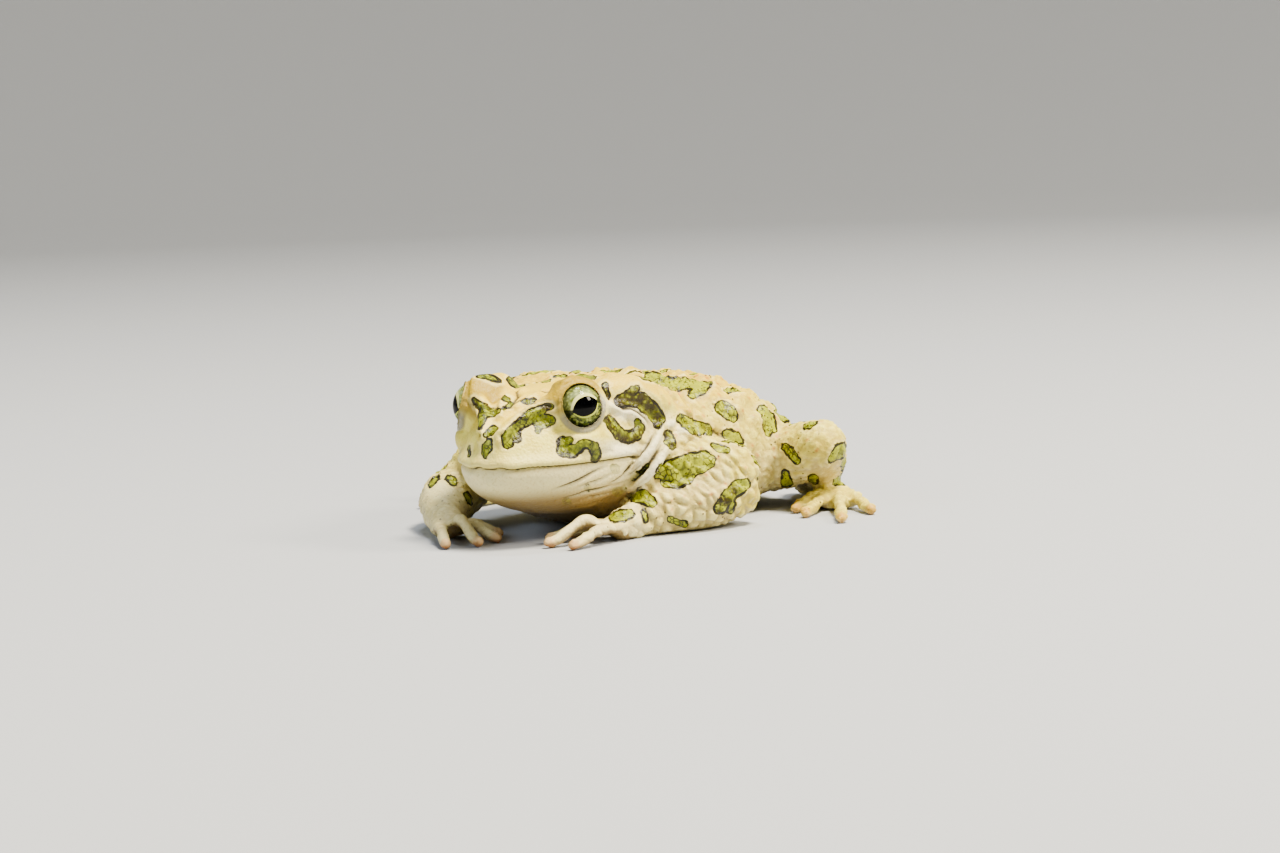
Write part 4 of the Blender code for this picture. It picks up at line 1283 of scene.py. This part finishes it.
# Painted shade in the creases, the mouth groove and the nostrils: soft brown, and nearly black where they are deepest.
crease_shade_amount = value_of(tree, "crease_shade")
ground = mixed(tree, maths(tree, "MULTIPLY", crease_shade_amount, 0.45), ground, "6c5630")
ground = mixed(tree, maths(tree, "MULTIPLY", between(tree, crease_shade_amount, 0.4, 0.85), 0.9), ground, "1a120a")
pores = between(tree, noise_at(0.5, 3.0, 0.6), 0.5, 0.7)
ground = mixed(tree, maths(tree, "MULTIPLY", pores, 0.3), ground, "a98c3a")
specks = maths(tree, "SUBTRACT", 1.0, between(tree, cells_at(1.3), 0.12, 0.22))
speck_here = maths(tree, "MULTIPLY", specks, between(tree, noise_at(6.0, 2.0), 0.46, 0.56))
speck_here = maths(tree, "MULTIPLY", speck_here, maths(tree, "MULTIPLY_ADD", value_of(tree, "grain"), 0.7, 0.2))
ground = mixed(tree, speck_here, ground, "241806")
ground = mixed(tree, maths(tree, "MULTIPLY", value_of(tree, "tip"), 0.65), ground, "b05010")

green = mixed(tree, between(tree, noise_at(1.4, 4.0, 0.6), 0.36, 0.64), "4a5202", "888f02")
green = mixed(tree, maths(tree, "MULTIPLY", value_of(tree, "grain"), 0.55), green, "b2b80c")
# Lighter granule tops in a blotch: partly the skin's own light spots, which show most in the brown patches, and partly
# a painted highlight.
granule_tops_and_highlight = maths(tree, "SUBTRACT", 1.0, between(tree, cells_at(1.0), 0.12, 0.42))
spotted = maths(tree, "MULTIPLY_ADD", value_of(tree, "umber"), 0.35, 0.2)
green = mixed(tree, maths(tree, "MULTIPLY", granule_tops_and_highlight, spotted), green, "ccd810")
between_grains = between(tree, cells_at(1.0), 0.42, 0.72)
rough_patch = between(tree, noise_at(9.0, 1.0), 0.42, 0.6)
net = maths(tree, "MULTIPLY", between_grains, maths(tree, "MULTIPLY_ADD", rough_patch, 0.5, 0.15))
green = mixed(tree, net, green, "1e1c06")
cracks = maths(tree, "SUBTRACT", 1.0, between(tree, cells_at(1.0, "DISTANCE_TO_EDGE"), 0.03, 0.12))
cracks = maths(tree, "MULTIPLY", cracks, between(tree, noise_at(3.0, 2.0), 0.45, 0.62))
green = mixed(tree, maths(tree, "MULTIPLY", cracks, 0.85), green, "100e04")
dots = maths(tree, "SUBTRACT", 1.0, between(tree, cells_at(0.75), 0.16, 0.32))
dots = maths(tree, "MULTIPLY", dots, between(tree, noise_at(2.0, 2.0), 0.4, 0.5))
green = mixed(tree, maths(tree, "MULTIPLY", dots, 0.9), green, "0c0b04")
browned = maths(tree, "MULTIPLY_ADD", granule_tops_and_highlight, -0.3, 0.92)
green = mixed(tree, maths(tree, "MULTIPLY", value_of(tree, "umber"), browned), green, "281c02")
line = maths(tree, "MULTIPLY", line, maths(tree, "MULTIPLY_ADD", faint, -1.0, 0.97))
green = mixed(tree, line, green, "140e05")
shown = maths(tree, "MULTIPLY", inside, maths(tree, "MULTIPLY_ADD", faint, -0.65, 1.0))
colour = mixed(tree, shown, ground, green)

bumps = maths(tree, "MULTIPLY", cells_at(0.6, "SMOOTH_F1"), -0.14)
bumps = maths(tree, "MULTIPLY_ADD", noise_at(0.35, 3.0), 0.12, bumps)
bumps = maths(tree, "MULTIPLY_ADD", maths(tree, "MULTIPLY", cells_at(0.9), inside), -0.1, bumps)
relief = add(tree, "ShaderNodeBump", {"Height": bumps, "Strength": 0.8, "Distance": MM})
wet = maths(tree, "MULTIPLY_ADD", noise_at(1.2, 3.0), 0.24, 0.33)
wet = maths(tree, "MULTIPLY_ADD", inside, -0.14, wet)
for key, value in (
    ("Base Color", colour),
    ("Roughness", wet),
    ("Normal", relief.outputs[0]),
):
    tree.links.new(value, shader.inputs[key])
for key, value in (
    ("Subsurface Weight", 0.08),
    ("Subsurface Radius", (1.0, 0.6, 0.35)),
    ("Subsurface Scale", 0.9 * MM),
    ("IOR", 1.4),
    ("Specular IOR Level", 0.36),
):
    shader.inputs[key].default_value = value
skin.data.materials.clear()
skin.data.materials.append(skin_material)

# %% [markdown]
# ## Iris and cornea
# The pupil of a toad is a lying lens shape with pointed ends. Round it runs a bright ring, wide and
# silvery above and thin below. The iris is yellow-green metal leaf under fine black veins that grow
# denser towards the rim. Its upper part is paler and silvery, partly its own tone and partly a painted
# reflection of the light above. A clear wet coat over it all stands for the cornea.

# %% Eye material
eye_material, tree, shader = new_material("wet_toad_eye")
spot = add(tree, "ShaderNodeTexCoord").outputs["Object"]
PUPIL_CENTRE = (-0.3, -0.38)
PUPIL_TILT = math.radians(-19)
PUPIL_HALF, PUPIL_TALL = 2.75, 1.78

x = maths(tree, "SUBTRACT", value_of(tree, "iris_x"), PUPIL_CENTRE[0])
y = maths(tree, "SUBTRACT", value_of(tree, "iris_y"), PUPIL_CENTRE[1])
c, s = math.cos(PUPIL_TILT), math.sin(PUPIL_TILT)
u = maths(tree, "ADD", maths(tree, "MULTIPLY", x, c), maths(tree, "MULTIPLY", y, s))
v = maths(tree, "SUBTRACT", maths(tree, "MULTIPLY", y, c), maths(tree, "MULTIPLY", x, s))
reach = maths(tree, "POWER", maths(tree, "DIVIDE", maths(tree, "ABSOLUTE", u), PUPIL_HALF), 2.6)
lens = maths(tree, "MULTIPLY", maths(tree, "SUBTRACT", 1.0, reach), PUPIL_TALL)
edge = maths(tree, "SUBTRACT", lens, maths(tree, "ABSOLUTE", v))
edge = maths(tree, "MULTIPLY_ADD", maths(tree, "SUBTRACT", noise_at(0.8), 0.5), 0.12, edge)
pupil = between(tree, edge, -0.03, 0.05)
above = between(tree, v, -0.3, 0.5)
ring_width = maths(tree, "MULTIPLY_ADD", above, -0.4, -0.4)
ring = between(tree, edge, ring_width, maths(tree, "ADD", ring_width, 0.2))
out = maths(tree, "SQRT", maths(tree, "ADD", maths(tree, "MULTIPLY", value_of(tree, "iris_x"), value_of(tree, "iris_x")),
                                 maths(tree, "MULTIPLY", value_of(tree, "iris_y"), value_of(tree, "iris_y"))))
veins = cells_at(0.55, "F1")
speckle = between(tree, maths(tree, "ADD", veins, maths(tree, "MULTIPLY", noise_at(0.9, 4.0), 0.5)), 0.62, 0.85)
low = maths(tree, "MULTIPLY_ADD", between(tree, v, -0.4, 1.5), -0.5, 1.0)
denser = maths(tree, "MULTIPLY", between(tree, out, 1.8, 3.6), low)
speckle = maths(tree, "MULTIPLY", speckle, maths(tree, "MULTIPLY_ADD", denser, 0.75, 0.22))
iris = mixed(tree, between(tree, noise_at(1.1, 4.0), 0.35, 0.65), "525e1a", "a0a848")
# The upper iris is paler and silvery: partly its own tone, partly a painted reflection of the light above.
silver_and_reflection = maths(tree, "MULTIPLY", between(tree, v, 0.2, 1.8), between(tree, noise_at(1.3, 3.0), 0.35, 0.6))
iris = mixed(tree, maths(tree, "MULTIPLY", silver_and_reflection, 0.5), iris, "a4b084")
iris = mixed(tree, speckle, iris, "0f1006")
iris = mixed(tree, ring, iris, mixed(tree, above, "b9c04a", "cdcc84"))
wedge_half = maths(tree, "MULTIPLY_ADD", maths(tree, "ABSOLUTE", u), 0.42, -0.75)
wedge = between(tree, maths(tree, "SUBTRACT", wedge_half, maths(tree, "ABSOLUTE", v)), -0.15, 0.15)
iris = mixed(tree, maths(tree, "MULTIPLY", wedge, 0.92), iris, "0c1006")
iris = mixed(tree, maths(tree, "MULTIPLY", between(tree, out, 2.7, 3.9), 0.55), iris, "28320e")
iris = mixed(tree, between(tree, out, 3.65, 3.95), iris, "060604")
iris = mixed(tree, pupil, iris, "000000")
tree.links.new(iris, shader.inputs["Base Color"])
for key, value in (
    ("Roughness", 0.5),
    ("Specular IOR Level", 0.0),
    ("Coat Weight", 0.4),
    ("Coat Roughness", 0.03),
    ("Coat IOR", 1.35),
):
    shader.inputs[key].default_value = value
for eye in eyes:
    eye.data.materials.append(eye_material)

# %% [markdown]
# ## Floor and light
# A plain pale floor that curves up behind, and large soft lights: a broad one overhead and ahead, as
# in a room with wide windows, one from the side to shape the folds, and a weak fill.

# %% Floor
FLOOR_RADIUS, FLOOR_CURVE, FLOOR_TOP = 1.2, 0.9, 3.0


def make_floor():
    """A flat round floor in metres whose rim curves up all round, so that it shows no edge from any side."""
    turns = np.linspace(0, math.pi / 2, 13)
    profile = [(0, 0)] + [(FLOOR_RADIUS + FLOOR_CURVE * math.sin(a), FLOOR_CURVE * (1 - math.cos(a))) for a in turns]
    profile.append((FLOOR_RADIUS + FLOOR_CURVE, FLOOR_TOP))
    bm = bmesh.new()
    verts = [bm.verts.new((x, 0, z)) for x, z in profile]
    edges = [bm.edges.new(pair) for pair in zip(verts, verts[1:])]
    bmesh.ops.spin(bm, geom=verts + edges, axis=(0, 0, 1), angle=2 * math.pi, steps=96, use_merge=True)
    bmesh.ops.remove_doubles(bm, verts=bm.verts, dist=1e-6)
    for face in bm.faces:
        face.smooth = True
    mesh = bpy.data.meshes.new("floor")
    bm.to_mesh(mesh)
    bm.free()
    obj = bpy.data.objects.new("floor", mesh)
    bpy.context.scene.collection.objects.link(obj)
    return obj


floor = make_floor()
floor_material, tree, shader = new_material("pale_paper")
shader.inputs["Base Color"].default_value = linear("a4a8ae")
shader.inputs["Roughness"].default_value = 0.85
floor.data.materials.append(floor_material)

# %% Lights


def area_light(name, turn, rise, away, size, power, colour):
    """A soft rectangular light that looks at the toad from a direction, in degrees and metres."""
    a, e = math.radians(turn), math.radians(rise)
    spot = Vector((math.sin(a) * math.cos(e), -math.cos(a) * math.cos(e), math.sin(e))) * away
    data = bpy.data.lights.new(name, "AREA")
    data.shape = "RECTANGLE"
    data.size, data.size_y = size
    data.energy = power
    data.color = linear(colour)[:3]
    light = bpy.data.objects.new(name, data)
    light.location = spot
    light.rotation_mode = "QUATERNION"
    light.rotation_quaternion = (-spot).to_track_quat("-Z", "Y")
    bpy.context.scene.collection.objects.link(light)


area_light("window_overhead", 88, 68, 1.2, (0.34, 0.3), 58, "fff2d8")
area_light("window_far_side", -30, 30, 1.3, (0.5, 0.4), 7, "dce8f8")
area_light("window_near_side", 100, 36, 1.4, (0.34, 0.34), 24, "fff2dc")

area_light("skylight_behind", 205, 76, 1.2, (0.3, 0.16), 9, "f4f8ff")

world = bpy.data.worlds.new("room")
world.use_nodes = True
world.node_tree.nodes["Background"].inputs["Color"].default_value = linear("d3dde8")
world.node_tree.nodes["Background"].inputs["Strength"].default_value = 0.07
bpy.context.scene.world = world
